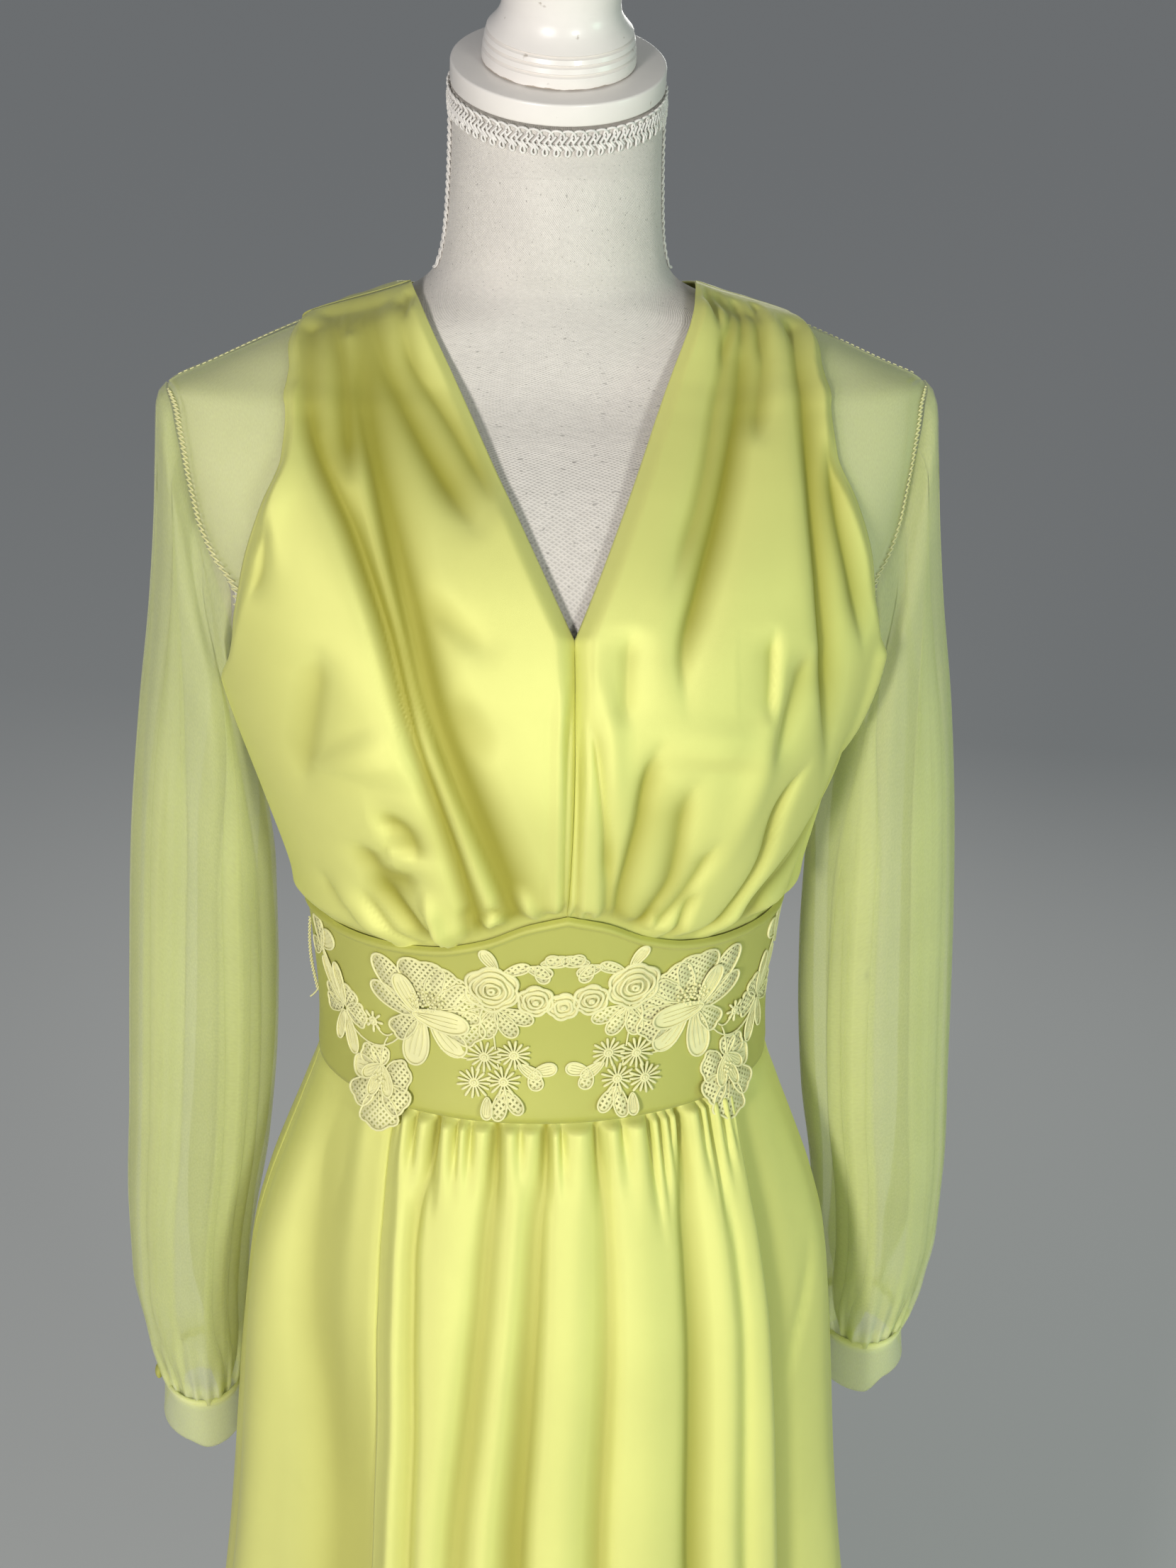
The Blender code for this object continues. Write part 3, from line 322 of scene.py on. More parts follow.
# Long soft folds of the skirt: the share of the panel's width at the band, the hip, the
# thigh and the hem; half widths in millimetres at the band, the thigh and the hem; depths
# in millimetres (minus is a valley) at the same places; and the lean to one side
Drape = namedtuple("Drape", "band hip thigh hem w1 w2 w3 d1 d2 d3 lean")
DRAPE_HEIGHTS = (1.022, 0.960, 0.790, HEM)
CENTRE_DRAPES = table(
    Drape,
    (0.045, 0.066, 0.062, 0.060, 5, 6, 12, 2.2, 4.0, 12.0, 0.2),
    (0.142, 0.101, 0.100, 0.110, 3, 5, 10, -2.6, -5.0, -9.0, 0.3),
    (0.200, 0.180, 0.148, 0.155, 10, 12, 20, 1.6, 4.0, 11.0, 0.0),
    (0.305, 0.281, 0.205, 0.225, 4, 9, 15, -2.6, -6.5, -9.0, -0.2),
    (0.366, 0.336, 0.262, 0.285, 6, 8, 15, 1.8, 4.0, 11.0, 0.1),
    (0.431, 0.405, 0.351, 0.360, 4, 8, 14, -2.8, -7.5, -10.0, 0.5),
    (0.495, 0.475, 0.439, 0.450, 12, 16, 26, 1.8, 4.5, 13.0, 0.0),
    (0.580, 0.572, 0.533, 0.545, 4, 8, 13, -2.6, -6.5, -9.0, 0.5),
    (0.655, 0.650, 0.640, 0.645, 12, 17, 26, 1.8, 4.8, 13.0, 0.0),
    (0.800, 0.772, 0.752, 0.760, 4, 9, 14, -2.8, -7.0, -9.0, -0.5),
    (0.870, 0.872, 0.845, 0.850, 7, 9, 16, 2.0, 4.5, 12.0, 0.0),
    (0.905, 0.910, 0.898, 0.900, 3, 5, 9, -1.6, -2.6, -5.0, 0.2),
    (0.965, 0.965, 0.962, 0.965, 8, 9, 14, 1.6, 5.0, 9.0, 0.3),
)
SIDE_DRAPES_RIGHT = table(
    Drape,
    (0.100, 0.100, 0.070, 0.110, 12, 14, 30, -1.2, -3.0, -7.0, 0.0),
    (0.640, 0.550, 0.420, 0.420, 16, 20, 34, 0.5, 5.5, 16.0, 0.0),
    (0.900, 0.860, 0.760, 0.760, 14, 16, 26, 0.0, -2.5, -7.0, 0.0),
)
SIDE_DRAPES_LEFT = table(
    Drape,
    (0.190, 0.170, 0.130, 0.120, 6, 9, 12, 1.2, 0.4, 0.0, 0.0),
    (0.420, 0.380, 0.150, 0.140, 18, 26, 34, -1.5, -7.5, -10.0, 0.2),
    (0.700, 0.660, 0.600, 0.560, 16, 22, 34, 0.4, 8.0, 16.0, 0.0),
    (0.950, 0.920, 0.900, 0.900, 12, 14, 22, 0.0, -2.5, -6.0, 0.0),
)

# Pinches of the gathers under the band: share of the panel, depth and half width in
# millimetres and length in centimetres
Pinch = namedtuple("Pinch", "share depth width length")
PINCH_STRENGTH = 1.55
SKIRT_PINCHES = table(
    Pinch,
    (0.000, 0.8, 1.6, 3.0),
    (0.030, 1.8, 1.8, 3.5),
    (0.075, 2.8, 2.0, 5.0),
    (0.142, 3.4, 2.2, 7.0),
    (0.199, 2.8, 1.8, 5.0),
    (0.236, 2.4, 1.8, 4.5),
    (0.305, 3.2, 2.2, 6.0),
    (0.366, 2.0, 1.8, 4.0),
    (0.435, 3.4, 2.2, 6.0),
    (0.474, 2.4, 1.8, 4.5),
    (0.563, 2.8, 2.0, 6.0),
    (0.633, 2.2, 1.8, 4.0),
    (0.708, 3.2, 2.0, 8.0),
    (0.739, 2.6, 1.8, 7.0),
    (0.767, 2.0, 1.6, 4.0),
    (0.800, 3.2, 2.2, 6.0),
    (0.868, 2.8, 1.8, 6.0),
    (0.893, 3.0, 1.7, 9.0),
    (0.940, 2.6, 1.8, 6.0),
    (0.972, 2.0, 1.8, 4.0),
    (1.000, 0.8, 1.6, 3.0),
)

# Creases drawn on the bodice: three places as an angle and a height, the half
# width and depth in millimetres (minus is a trough), the lean to one side, and the
# ends that run into a seam: s the start, e the end, b both
Crease = namedtuple("Crease", "a1 h1 a2 h2 a3 h3 width depth lean seams")
LEFT_CREASES = table(
    Crease,
    (-81.5, 1.4144, -69.3, 1.4123, -56.7, 1.4075, 1.6, -1.8, 0.0, "s"),
    (-82.5, 1.4163, -66.4, 1.4134, -51.5, 1.4062, 1.8, -2.0, 0.0, "s"),
    (-65.7, 1.4229, -53.2, 1.4192, -41.2, 1.4126, 2.0, -1.8, 0.0, "s"),
    (-74.6, 1.4182, -62.8, 1.4152, -49.9, 1.409, 1.5, -1.6, 0.0, "s"),
    (-24.0, 1.3083, -17.5, 1.2922, -10.5, 1.2783, 7.0, -1.4, 0.0, ""),
    (-19.8, 1.2693, -15.9, 1.2503, -12.2, 1.2344, 9.0, -1.3, 0.0, ""),
    (-29.9, 1.1555, -29.4, 1.1427, -27.2, 1.1288, 2.4, -2.6, 0.0, "e"),
    (-19.4, 1.1512, -19.0, 1.143, -18.2, 1.1358, 2.0, -2.6, 0.0, "e"),
    (-15.5, 1.1538, -15.0, 1.1456, -13.3, 1.1393, 2.0, -2.0, 0.0, "e"),
    (-17.2, 1.1534, -16.2, 1.1487, -15.1, 1.1439, 4.5, 2.4, 0.0, ""),
    (-2.9, 1.1566, -4.0, 1.15, -3.4, 1.1467, 2.2, -2.0, 0.0, "e"),
    (-53.9, 1.1632, -48.9, 1.1414, -39.8, 1.121, 8.0, 2.0, 0.0, "e"),
    (-46.7, 1.1588, -42.2, 1.1425, -34.3, 1.1256, 3.0, -2.0, 0.0, "e"),
    (-64.2, 1.1256, -53.1, 1.1209, -45.9, 1.1175, 4.0, -1.6, 0.0, "e"),
    (-1.5, 1.2719, -2.5, 1.2388, -2.5, 1.155, 3.0, 1.4, 0.0, "e"),
    (-36.9, 1.2466, -34.8, 1.232, -35.0, 1.2159, 26.0, 2.0, 0.0, ""),
)
RIGHT_CREASES = table(
    Crease,
    (72.3, 1.4231, 52.0, 1.4176, 38.9, 1.4087, 2.2, -2.0, 0.0, "s"),
    (68.3, 1.4206, 41.7, 1.4084, 29.0, 1.3927, 2.6, -2.4, 0.0, "s"),
    (67.8, 1.4177, 49.7, 1.4104, 37.8, 1.4002, 2.0, -1.8, 0.0, "s"),
    (71.7, 1.4149, 51.8, 1.4072, 38.0, 1.3945, 2.6, -2.0, 0.0, "s"),
    (66.0, 1.2600, 70.0, 1.2150, 74.0, 1.1700, 6.0, 2.6, 0.0, "s"),
    (76.0, 1.2300, 76.0, 1.1700, 60.0, 1.1240, 5.0, -2.6, 0.0, "e"),
    (72.1, 1.1254, 55.0, 1.1263, 45.8, 1.1168, 4.0, -2.4, 0.0, "e"),
    (5.8, 1.2005, 6.9, 1.1764, 7.6, 1.1455, 3.0, -2.6, 0.0, "e"),
    (0.7, 1.2612, 0.9, 1.2153, 1.5, 1.1481, 1.8, -2.4, 0.0, "e"),
    (19.2, 1.1567, 15.6, 1.1449, 13.0, 1.1416, 2.4, -2.8, 0.0, "e"),
    (27.2, 1.1627, 25.7, 1.1505, 23.9, 1.1316, 3.0, -3.0, 0.2, "e"),
    (37.9, 1.1386, 33.5, 1.1331, 30.7, 1.1264, 2.2, -2.8, 0.0, "e"),
    (46.4, 1.1327, 41.4, 1.1264, 38.1, 1.1194, 2.2, -2.6, 0.0, "e"),
    (3.0, 1.1611, 4.1, 1.1527, 4.6, 1.146, 2.2, -2.0, 0.0, "e"),
    (19.9, 1.1482, 18.3, 1.1439, 17.8, 1.1408, 4.0, 2.0, 0.0, ""),
    (25.2, 1.2548, 25.2, 1.2382, 25.0, 1.2252, 24.0, 2.0, 0.0, ""),
)

# The long gathers of the bodice fronts, from the shoulder down to the band: the width
# at either end and the depth in millimetres (minus is a trough), the lean to one side,
# the ends that run into a seam, and the angle and height at stations along the fold
LongFold = namedtuple("LongFold", "top foot depth lean seams stations")
LEFT_LONG_FOLDS = table(
    LongFold,
    (5, 6.5, -8.0, -0.4, "b", (
        (-77.3, 1.417), (-29.9, 1.377), (-28.0, 1.336), (-25.7, 1.294),
        (-23.0, 1.249), (-17.6, 1.202), (-10.4, 1.147))),
    (4, 3, -6.5, -0.3, "b", (
        (-66.4, 1.406), (-38.5, 1.366), (-33.4, 1.328), (-29.4, 1.288),
        (-27.0, 1.244), (-23.0, 1.195), (-18.4, 1.139))),
    (4, 4, 2.6, 0, "b", (
        (-49.6, 1.405), (-30.5, 1.366), (-29.1, 1.328), (-27.1, 1.288),
        (-25.4, 1.246), (-21.1, 1.201), (-14.3, 1.151))),
    (3.5, 5.5, -5.5, -0.3, "s", (
        (-66.4, 1.417), (-38.3, 1.401), (-26.2, 1.385), (-21.7, 1.369),
        (-18.9, 1.354), (-15.8, 1.339), (-12.2, 1.325))),
    (3, 4.5, -4.0, -0.3, "s", (
        (-59.2, 1.420), (-28.2, 1.397), (-17.3, 1.376), (-13.2, 1.355), (-9.3, 1.333))),
    (3, 4.5, -5.0, -0.3, "s", (
        (-79.5, 1.413), (-45.9, 1.399), (-33.4, 1.381), (-32.7, 1.364), (-32.5, 1.346))),
    (8, 10, -2.6, 0.3, "", (
        (-41.4, 1.285), (-42.9, 1.266), (-46.3, 1.245), (-50.9, 1.223), (-57.2, 1.197))),
    (5, 2.6, -6.0, 0.3, "e", (
        (-42.2, 1.170), (-39.2, 1.159), (-35.7, 1.148), (-32.1, 1.138), (-28.0, 1.128))),
    (6, 6, -4.5, 0.0, "", (
        (-42.9, 1.189), (-41.7, 1.178), (-39.1, 1.169), (-33.9, 1.168), (-29.8, 1.181))),
    (5, 6, -4.5, 0.3, "", (
        (-38.5, 1.199), (-34.4, 1.200), (-31.5, 1.196), (-30.5, 1.187), (-30.9, 1.177))),
    (4.5, 2.2, 4.0, 0, "e", ((-29.0, 1.170), (-28.8, 1.156), (-28.0, 1.143), (-26.3, 1.130))),
    (2, 2, -3.0, 0.3, "e", ((-21.5, 1.159), (-21.4, 1.150), (-21.4, 1.141), (-21.4, 1.132))),
    (2, 2, -3.0, 0.2, "e", ((-17.1, 1.160), (-14.5, 1.154), (-12.0, 1.148), (-9.2, 1.142))),
    (4, 3, 3.4, 0, "e", ((-10.7, 1.174), (-9.7, 1.165), (-8.2, 1.156), (-6.8, 1.147))),
    (5, 6, -2.2, 0.3, "", ((-51.2, 1.333), (-50.2, 1.321), (-52.4, 1.306), (-57.9, 1.290))),
    (5, 6, 2.0, 0, "", ((-41.4, 1.370), (-44.7, 1.348), (-47.6, 1.324), (-48.7, 1.301))),
    (6, 3, -2.2, 0.4, "e", ((-59.2, 1.162), (-55.7, 1.147), (-49.3, 1.136), (-42.8, 1.124))),
    (1.8, 1.8, -2.4, 0.5, "e", (
        (-0.4, 1.274), (-1.3, 1.247), (-1.6, 1.219), (-1.5, 1.187), (-1.1, 1.152))),
)
RIGHT_LONG_FOLDS = table(
    LongFold,
    (3.5, 5, -6.0, -0.5, "s", (
        (62.4, 1.406), (37.7, 1.377), (38.8, 1.346), (41.2, 1.312),
        (44.8, 1.277), (50.9, 1.237), (61.4, 1.190))),
    (3, 3, -3.0, 0.8, "", ((32.4, 1.289), (32.9, 1.274), (33.5, 1.259), (33.9, 1.243))),
    (7, 7, 2.2, 0, "", (
        (32.5, 1.301), (33.6, 1.278), (34.5, 1.254), (34.4, 1.229),
        (33.7, 1.204), (31.5, 1.179), (26.8, 1.156))),
    (6, 5, -3.4, 0, "", (
        (41.1, 1.279), (40.0, 1.265), (38.8, 1.250), (38.0, 1.235), (36.9, 1.219))),
    (3, 3, -5.0, 0.5, "e", (
        (49.2, 1.223), (45.5, 1.208), (44.1, 1.191), (45.0, 1.169),
        (42.5, 1.152), (37.0, 1.137), (29.4, 1.127))),
    (4, 3, -5.0, -0.4, "e", (
        (62.0, 1.230), (66.0, 1.206), (65.3, 1.185), (60.1, 1.169),
        (53.2, 1.154), (46.4, 1.139), (41.7, 1.120))),
    (5, 3.5, -4.0, 0.0, "e", (
        (68.0, 1.251), (71.1, 1.220), (71.2, 1.200), (69.6, 1.172),
        (62.9, 1.154), (52.5, 1.141), (45.0, 1.122))),
    (3.5, 4, -5.5, -0.4, "s", (
        (60.6, 1.416), (30.5, 1.389), (24.3, 1.361), (22.0, 1.334),
        (19.0, 1.306), (16.7, 1.278), (18.5, 1.246))),
    (3, 5, -3.2, -0.3, "s", (
        (58.5, 1.420), (32.3, 1.399), (22.1, 1.378), (20.4, 1.357),
        (18.6, 1.337), (16.0, 1.317), (13.6, 1.296))),
    (3, 4, -3.4, 0.3, "s", ((60.7, 1.413), (40.0, 1.396), (29.6, 1.378), (28.3, 1.360))),
    (5, 5, -2.4, 0, "", ((8.3, 1.294), (7.9, 1.279), (7.7, 1.264), (7.9, 1.248))),
    (4, 3, -5.0, -0.5, "e", (
        (14.7, 1.248), (12.7, 1.234), (11.8, 1.219), (11.5, 1.202),
        (10.7, 1.185), (9.9, 1.167), (9.8, 1.147))),
    (2.4, 2.4, -3.4, -0.6, "", (
        (1.8, 1.261), (3.3, 1.241), (4.5, 1.219), (5.7, 1.196), (6.4, 1.170))),
    (5, 5, 2.6, 0, "", ((1.2, 1.282), (4.4, 1.262), (5.3, 1.238), (6.0, 1.213), (7.1, 1.185))),
    (5, 3, -4.2, 0.4, "e", (
        (22.1, 1.228), (20.4, 1.215), (20.3, 1.200), (20.6, 1.184),
        (20.2, 1.168), (17.7, 1.155), (14.2, 1.142))),
    (4, 2.5, -3.4, 0.5, "e", (
        (28.6, 1.193), (27.5, 1.179), (25.5, 1.166), (22.7, 1.154), (18.9, 1.144))),
    (3, 6, -4.5, -0.4, "", (
        (41.5, 1.370), (42.9, 1.353), (44.8, 1.336), (47.2, 1.319),
        (50.4, 1.301), (54.6, 1.281), (59.5, 1.259))),
)

# The curved drag line of the right side panel
SIDE_CURVE = (Crease(66.9, 0.946, 57.0, 0.895, 44.8, 0.852, 4.0, -1.8, 0.6, ""),)

# Rows of the skirt and the angles of its two princess seams at each
SkirtRow = namedtuple("SkirtRow", "height left right")
SKIRT_ROWS = table(
    SkirtRow,
    (1.0306, 43.5, 49.0),
    (1.0080, 42.5, 48.5),
    (0.9700, 39.5, 46.0),
    (0.9200, 36.5, 44.0),
    (0.8500, 35.0, 43.5),
    (0.7000, 35.0, 43.0),
    (0.4200, 36.5, 42.5),
    (HEM, 39.0, 42.0),
)

# How far the torso lies inside the dress's middle surface
FormRow = namedtuple("FormRow", "height inset")
FORM_ROWS = table(
    FormRow,
    (TORSO_FOOT, 0.0600),
    (0.8030, 0.0420),
    (0.8120, 0.0290),
    (0.8350, 0.0190),
    (0.8750, 0.0130),
    (0.9200, 0.0095),
    (0.9700, 0.0062),
    (1.0310, 0.0042),
    (1.1050, 0.0040),
    (1.1800, 0.0040),
    (1.2300, 0.0040),
    (1.2800, 0.0036),
    (1.3200, 0.0032),
    (1.3500, 0.0044),
    (1.3680, 0.0058),
    (1.3780, 0.0058),
    (1.3880, 0.0052),
    (1.4000, 0.0036),
    (1.4110, 0.0030),
    (1.4200, 0.0030),
    (1.4280, 0.0028),
    (1.4370, 0.0012),
    (1.4550, 0.0000),
    (1.4800, 0.0000),
)

# Half outlines of turned wood, from the top down
TurnedRow = namedtuple("TurnedRow", "radius height")
FINIAL_ROWS = table(
    TurnedRow,
    (0.0000, 0.0920),
    (0.0040, 0.0914),
    (0.0066, 0.0895),
    (0.0078, 0.0865),
    (0.0075, 0.0832),
    (0.0110, 0.0822),
    (0.0170, 0.0795),
    (0.0225, 0.0752),
    (0.0268, 0.0690),
    (0.0295, 0.0615),
    (0.0306, 0.0540),
    (0.0302, 0.0465),
    (0.0286, 0.0390),
    (0.0272, 0.0330),
    (0.0268, 0.0280),
    (0.0274, 0.0238),
    (0.0292, 0.0200),
    (0.0318, 0.0168),
    (0.0334, 0.0150),
    (0.0321, 0.0141),
    (0.0338, 0.0132),
    (0.0344, 0.0112),
    (0.0329, 0.0103),
    (0.0345, 0.0094),
    (0.0350, 0.0072),
    (0.0335, 0.0063),
    (0.0351, 0.0053),
    (0.0353, 0.0030),
    (0.0353, 0.0013),
    (0.0352, 0.0004),
    (0.0346, 0.0000),
    (0.0000, 0.0000),
)
STAND_ROWS = table(
    TurnedRow,
    (0.0000, BASE_HEIGHT),
    (0.0300, BASE_HEIGHT),
    (0.1000, 0.0222),
    (0.1600, 0.0196),
    (0.1850, 0.0178),
    (0.1940, 0.0160),
    (0.1985, 0.0132),
    (0.2000, 0.0100),
    (0.2000, 0.0030),
    (0.1994, 0.0010),
    (0.1975, 0.0000),
    (0.0000, 0.0000),
)

# Lace petals on one side: where each starts, its length and width, the scallops at its
# tip, its turn, how far it stands out, and what fills it
Petal = namedtuple("Petal", "along up length width lobes turn out fill")
PETALS = table(
    Petal,
    (7.20, 5.60, 3.45, 1.30, 0, 52, 0.00, "net"),
    (7.30, 5.30, 2.70, 1.00, 0, 28, 0.00, "net"),
    (6.85, 6.00, 2.75, 2.00, 2, 92, 0.00, "net"),
    (6.40, 6.05, 2.50, 1.80, 2, 126, 0.00, "net"),
    (6.20, 5.85, 2.45, 1.90, 3, 160, 0.02, "net"),
    (6.20, 5.45, 2.50, 1.60, 3, 194, 0.02, "net"),
    (6.40, 5.25, 2.40, 1.20, 0, 228, 0.00, "ribs"),
    (6.90, 5.20, 2.80, 1.25, 0, 283, 0.00, "ribs"),
    (7.15, 5.25, 1.90, 1.00, 2, 318, 0.00, "net"),
    (7.10, 5.55, 2.25, 0.95, 0, 64, 0.10, "ribs"),
    (7.35, 5.50, 2.90, 1.15, 0, 186, 0.14, "ribs"),
    (9.30, 1.90, 1.05, 0.95, 2, 80, 0.00, "net"),
    (9.40, 1.90, 1.35, 0.95, 2, 22, 0.00, "net"),
    (9.05, 1.60, 1.45, 1.35, 3, 176, 0.00, "net"),
    (9.00, 0.80, 1.55, 1.30, 2, 212, 0.00, "net"),
    (9.30, 0.60, 2.10, 1.80, 3, 262, 0.00, "net"),
    (9.60, 0.90, 1.75, 1.20, 2, 316, 0.00, "net"),
    (9.60, 1.60, 1.60, 1.10, 0, 352, 0.00, "ribs"),
    (9.30, 1.90, 1.75, 0.62, 0, 286, 0.08, "ribs"),
    (9.25, 1.90, 1.60, 0.62, 0, 248, 0.08, "ribs"),
    (9.35, 1.90, 1.40, 0.58, 0, 322, 0.08, "ribs"),
    (11.90, 4.40, 2.70, 0.80, 0, 48, 0.00, "ribs"),
    (11.85, 4.50, 2.20, 0.65, 0, 76, 0.03, "ribs"),
    (11.80, 4.40, 1.30, 1.00, 2, 118, 0.00, "net"),
    (11.70, 4.20, 1.45, 1.10, 3, 178, 0.00, "net"),
    (11.85, 4.10, 2.30, 0.80, 0, 253, 0.00, "ribs"),
    (11.95, 4.10, 1.90, 0.60, 0, 288, 0.03, "ribs"),
    (12.00, 4.30, 1.60, 0.80, 2, 350, 0.00, "net"),
    (12.00, 4.45, 1.60, 0.70, 0, 18, 0.00, "net"),
    (13.60, 7.00, 1.70, 0.95, 2, 80, 0.00, "net"),
    (13.60, 7.10, 1.60, 0.95, 0, 140, 0.00, "ribs"),
    (13.70, 7.00, 1.50, 0.85, 0, 340, 0.00, "net"),
    (13.60, 6.95, 2.60, 0.40, 0, 238, 0.00, "ribs"),
    (3.05, 6.30, 1.75, 0.78, 0, 200, 0.00, "net"),
    (3.15, 6.30, 1.75, 0.78, 0, 240, 0.00, "net"),
    (3.25, 6.30, 1.75, 0.78, 0, 285, 0.00, "net"),
    (3.35, 6.30, 1.65, 0.78, 0, 330, 0.00, "net"),
    (4.75, 6.75, 0.85, 0.52, 0, 170, 0.00, "ribs"),
    (3.10, 8.70, 1.35, 0.56, 0, 60, 0.02, "ribs"),
    (2.80, 8.50, 1.30, 0.58, 0, 155, 0.00, "net"),
    (1.75, 8.95, 1.25, 0.62, 0, 200, 0.00, "net"),
    (1.10, 9.20, 1.30, 0.62, 0, 170, 0.00, "net"),
    (1.25, 9.10, 1.15, 0.58, 0, 250, 0.00, "net"),
    (2.10, 3.20, 1.35, 0.56, 0, 215, 0.00, "ribs"),
    (1.35, 2.75, 1.15, 0.66, 0, 165, 0.00, "ribs"),
    (1.40, 2.80, 1.05, 0.66, 0, 255, 0.00, "net"),
    (2.75, 1.75, 1.45, 0.62, 0, 235, 0.00, "net"),
    (2.80, 1.75, 1.60, 0.66, 0, 280, 0.00, "net"),
    (3.60, 1.30, 1.10, 0.50, 0, 268, 0.02, "ribs"),
)
CENTRE_PETALS = table(
    Petal,
    (-0.05, 9.40, 0.85, 0.62, 0, 180, 0.00, "net"),
    (0.05, 9.40, 0.85, 0.62, 0, 0, 0.00, "net"),
)

# Daisies, roses and stars: centre, radius, the number of fingers or rings, the turn
Round = namedtuple("Round", "kind along up radius count turn")
ROUNDS = table(
    Round,
    ("daisy", 2.30, 3.75, 0.90, 15, 0),
    ("daisy", 3.75, 3.55, 0.95, 15, 7),
    ("daisy", 2.80, 2.22, 0.90, 14, 3),
    ("daisy", 4.25, 2.05, 0.92, 15, 11),
    ("daisy", 9.75, 4.30, 0.66, 8, 0),
    ("rose", 3.35, 7.55, 1.35, 4, 0),
    ("rose", 1.30, 6.95, 0.88, 3, 20),
)
CENTRE_ROUNDS = table(
    Round,
    ("rose", 0.00, 6.60, 0.78, 2, 18),
)

# Cords of lace that join the motifs: three places each
Stem = namedtuple("Stem", "x1 y1 x2 y2 x3 y3")
STEMS = table(
    Stem,
    (4.40, 3.35, 5.20, 3.40, 5.95, 3.70),
    (3.30, 4.95, 3.25, 4.50, 3.20, 4.00),
    (3.30, 6.60, 3.20, 6.20, 3.25, 5.70),
    (4.60, 7.20, 4.90, 6.90, 5.20, 6.40),
    (2.05, 7.30, 1.95, 7.20, 1.85, 7.05),
    (0.60, 6.80, 0.45, 6.90, 0.35, 6.95),
    (2.30, 8.60, 1.90, 8.80, 1.50, 9.05),
    (9.30, 1.90, 9.20, 2.90, 8.90, 3.60),
    (8.60, 3.90, 9.20, 3.70, 9.75, 4.30),
    (9.75, 4.30, 10.60, 3.90, 11.60, 4.30),
    (8.20, 3.80, 9.80, 2.90, 11.60, 3.60),
    (12.80, 5.20, 13.20, 6.00, 13.60, 7.00),
    (3.00, 2.90, 3.05, 3.00, 3.10, 3.20),
    (1.90, 3.20, 1.60, 3.00, 1.40, 2.80),
)

# Beads in the middle of two flowers
Beads = namedtuple("Beads", "along up wide high count")
BEAD_PLACES = table(
    Beads,
    (6.55, 6.30, 0.95, 0.62, 38),
    (9.28, 1.20, 0.30, 0.40, 9),
)
BEAD_RADIUS = 0.088


class SmoothCurve:
    """A curve through a table's knots that never overshoots them, for whole arrays."""

    def __init__(self, knots, values):
        self.knots = np.asarray(knots, float)
        self.values = np.asarray(values, float)
        steps = np.diff(self.values) / np.diff(self.knots)
        slopes = np.concatenate(([steps[0]], np.zeros(len(steps) - 1), [steps[-1]]))
        before, after = steps[:-1], steps[1:]
        agree = before * after > 0
        slopes[1:-1][agree] = (2 * before * after / (before + after + (~agree)))[agree]
        self.slopes = slopes

    def __call__(self, at):
        at = np.clip(at, self.knots[0], self.knots[-1])
        k = np.clip(np.searchsorted(self.knots, at, side="right") - 1, 0, len(self.knots) - 2)
        span = self.knots[k + 1] - self.knots[k]
        t = (at - self.knots[k]) / span
        start = self.values[k] * (1 + 2 * t) + self.slopes[k] * span * t
        end = self.values[k + 1] * (3 - 2 * t) + self.slopes[k + 1] * span * (t - 1)
        return start * (1 - t) ** 2 + end * t**2

    def slope(self, at):
        return (self(np.asarray(at) + 0.001) - self(np.asarray(at) - 0.001)) / 0.002


class Softened:
    """A curve averaged over a short distance, so that its kinks don't show."""

    def __init__(self, curve, distance):
        self.curve = curve
        self.distance = distance

    def average(self, function, at):
        at = np.asarray(at, float)
        return (function(at - self.distance) + 2 * function(at) + function(at + self.distance)) / 4

    def __call__(self, at):
        return self.average(self.curve, at)

    def slope(self, at):
        return self.average(self.curve.slope, at)


def column(rows, name):
    return [getattr(row, name) for row in rows]


def table_curve(rows, key, name):
    return SmoothCurve(column(rows, key), column(rows, name))


def row_curve(rows, name):
    """A curve over the row's number in its table."""
    return SmoothCurve(range(len(rows)), column(rows, name))


HALF_WIDTH = Softened(table_curve(BODY_ROWS, "height", "half_width"), 0.003)
FRONT = Softened(table_curve(BODY_ROWS, "height", "front"), 0.011)
BACK = Softened(table_curve(BODY_ROWS, "height", "back"), 0.009)
MIDDLE = table_curve(BODY_ROWS, "height", "middle")
BAND_TOP_AT = table_curve(BAND_TOP, "angle", "height")
ARMHOLE_ANGLE = table_curve(ARMHOLE_ROWS, "share", "angle")
ARMHOLE_HEIGHT = table_curve(ARMHOLE_ROWS, "share", "height")


def mix(a, b, share):
    return a + (b - a) * share


def soft_step(x):
    x = np.clip(x, 0.0, 1.0)
    return x * x * (3 - 2 * x)


def hump(x):
    return np.exp(-(x**2))


def on_body(angle, height, out=0.0):
    """Points of the dress's middle surface, moved out along its normal."""
    angle, height, out = np.broadcast_arrays(
        np.asarray(angle, float), np.asarray(height, float), np.asarray(out, float)
    )
    turn = np.radians(angle)
    width = HALF_WIDTH(height)
    ahead = np.cos(turn) > 0
    depth = np.where(ahead, FRONT(height), BACK(height))
    slope = np.where(ahead, FRONT.slope(height), BACK.slope(height))
    x = width * np.sin(turn)
    y = -depth * np.cos(turn)
    rise = -(x * x * HALF_WIDTH.slope(height) / width**3)
    rise = rise - y * y * slope / depth**3 - y * MIDDLE.slope(height) / depth**2
    normal = np.stack((x / width**2, y / depth**2, rise), axis=-1)
    normal /= np.linalg.norm(normal, axis=-1, keepdims=True)
    return np.stack((x, y + MIDDLE(height), height), axis=-1) + normal * out[..., None]


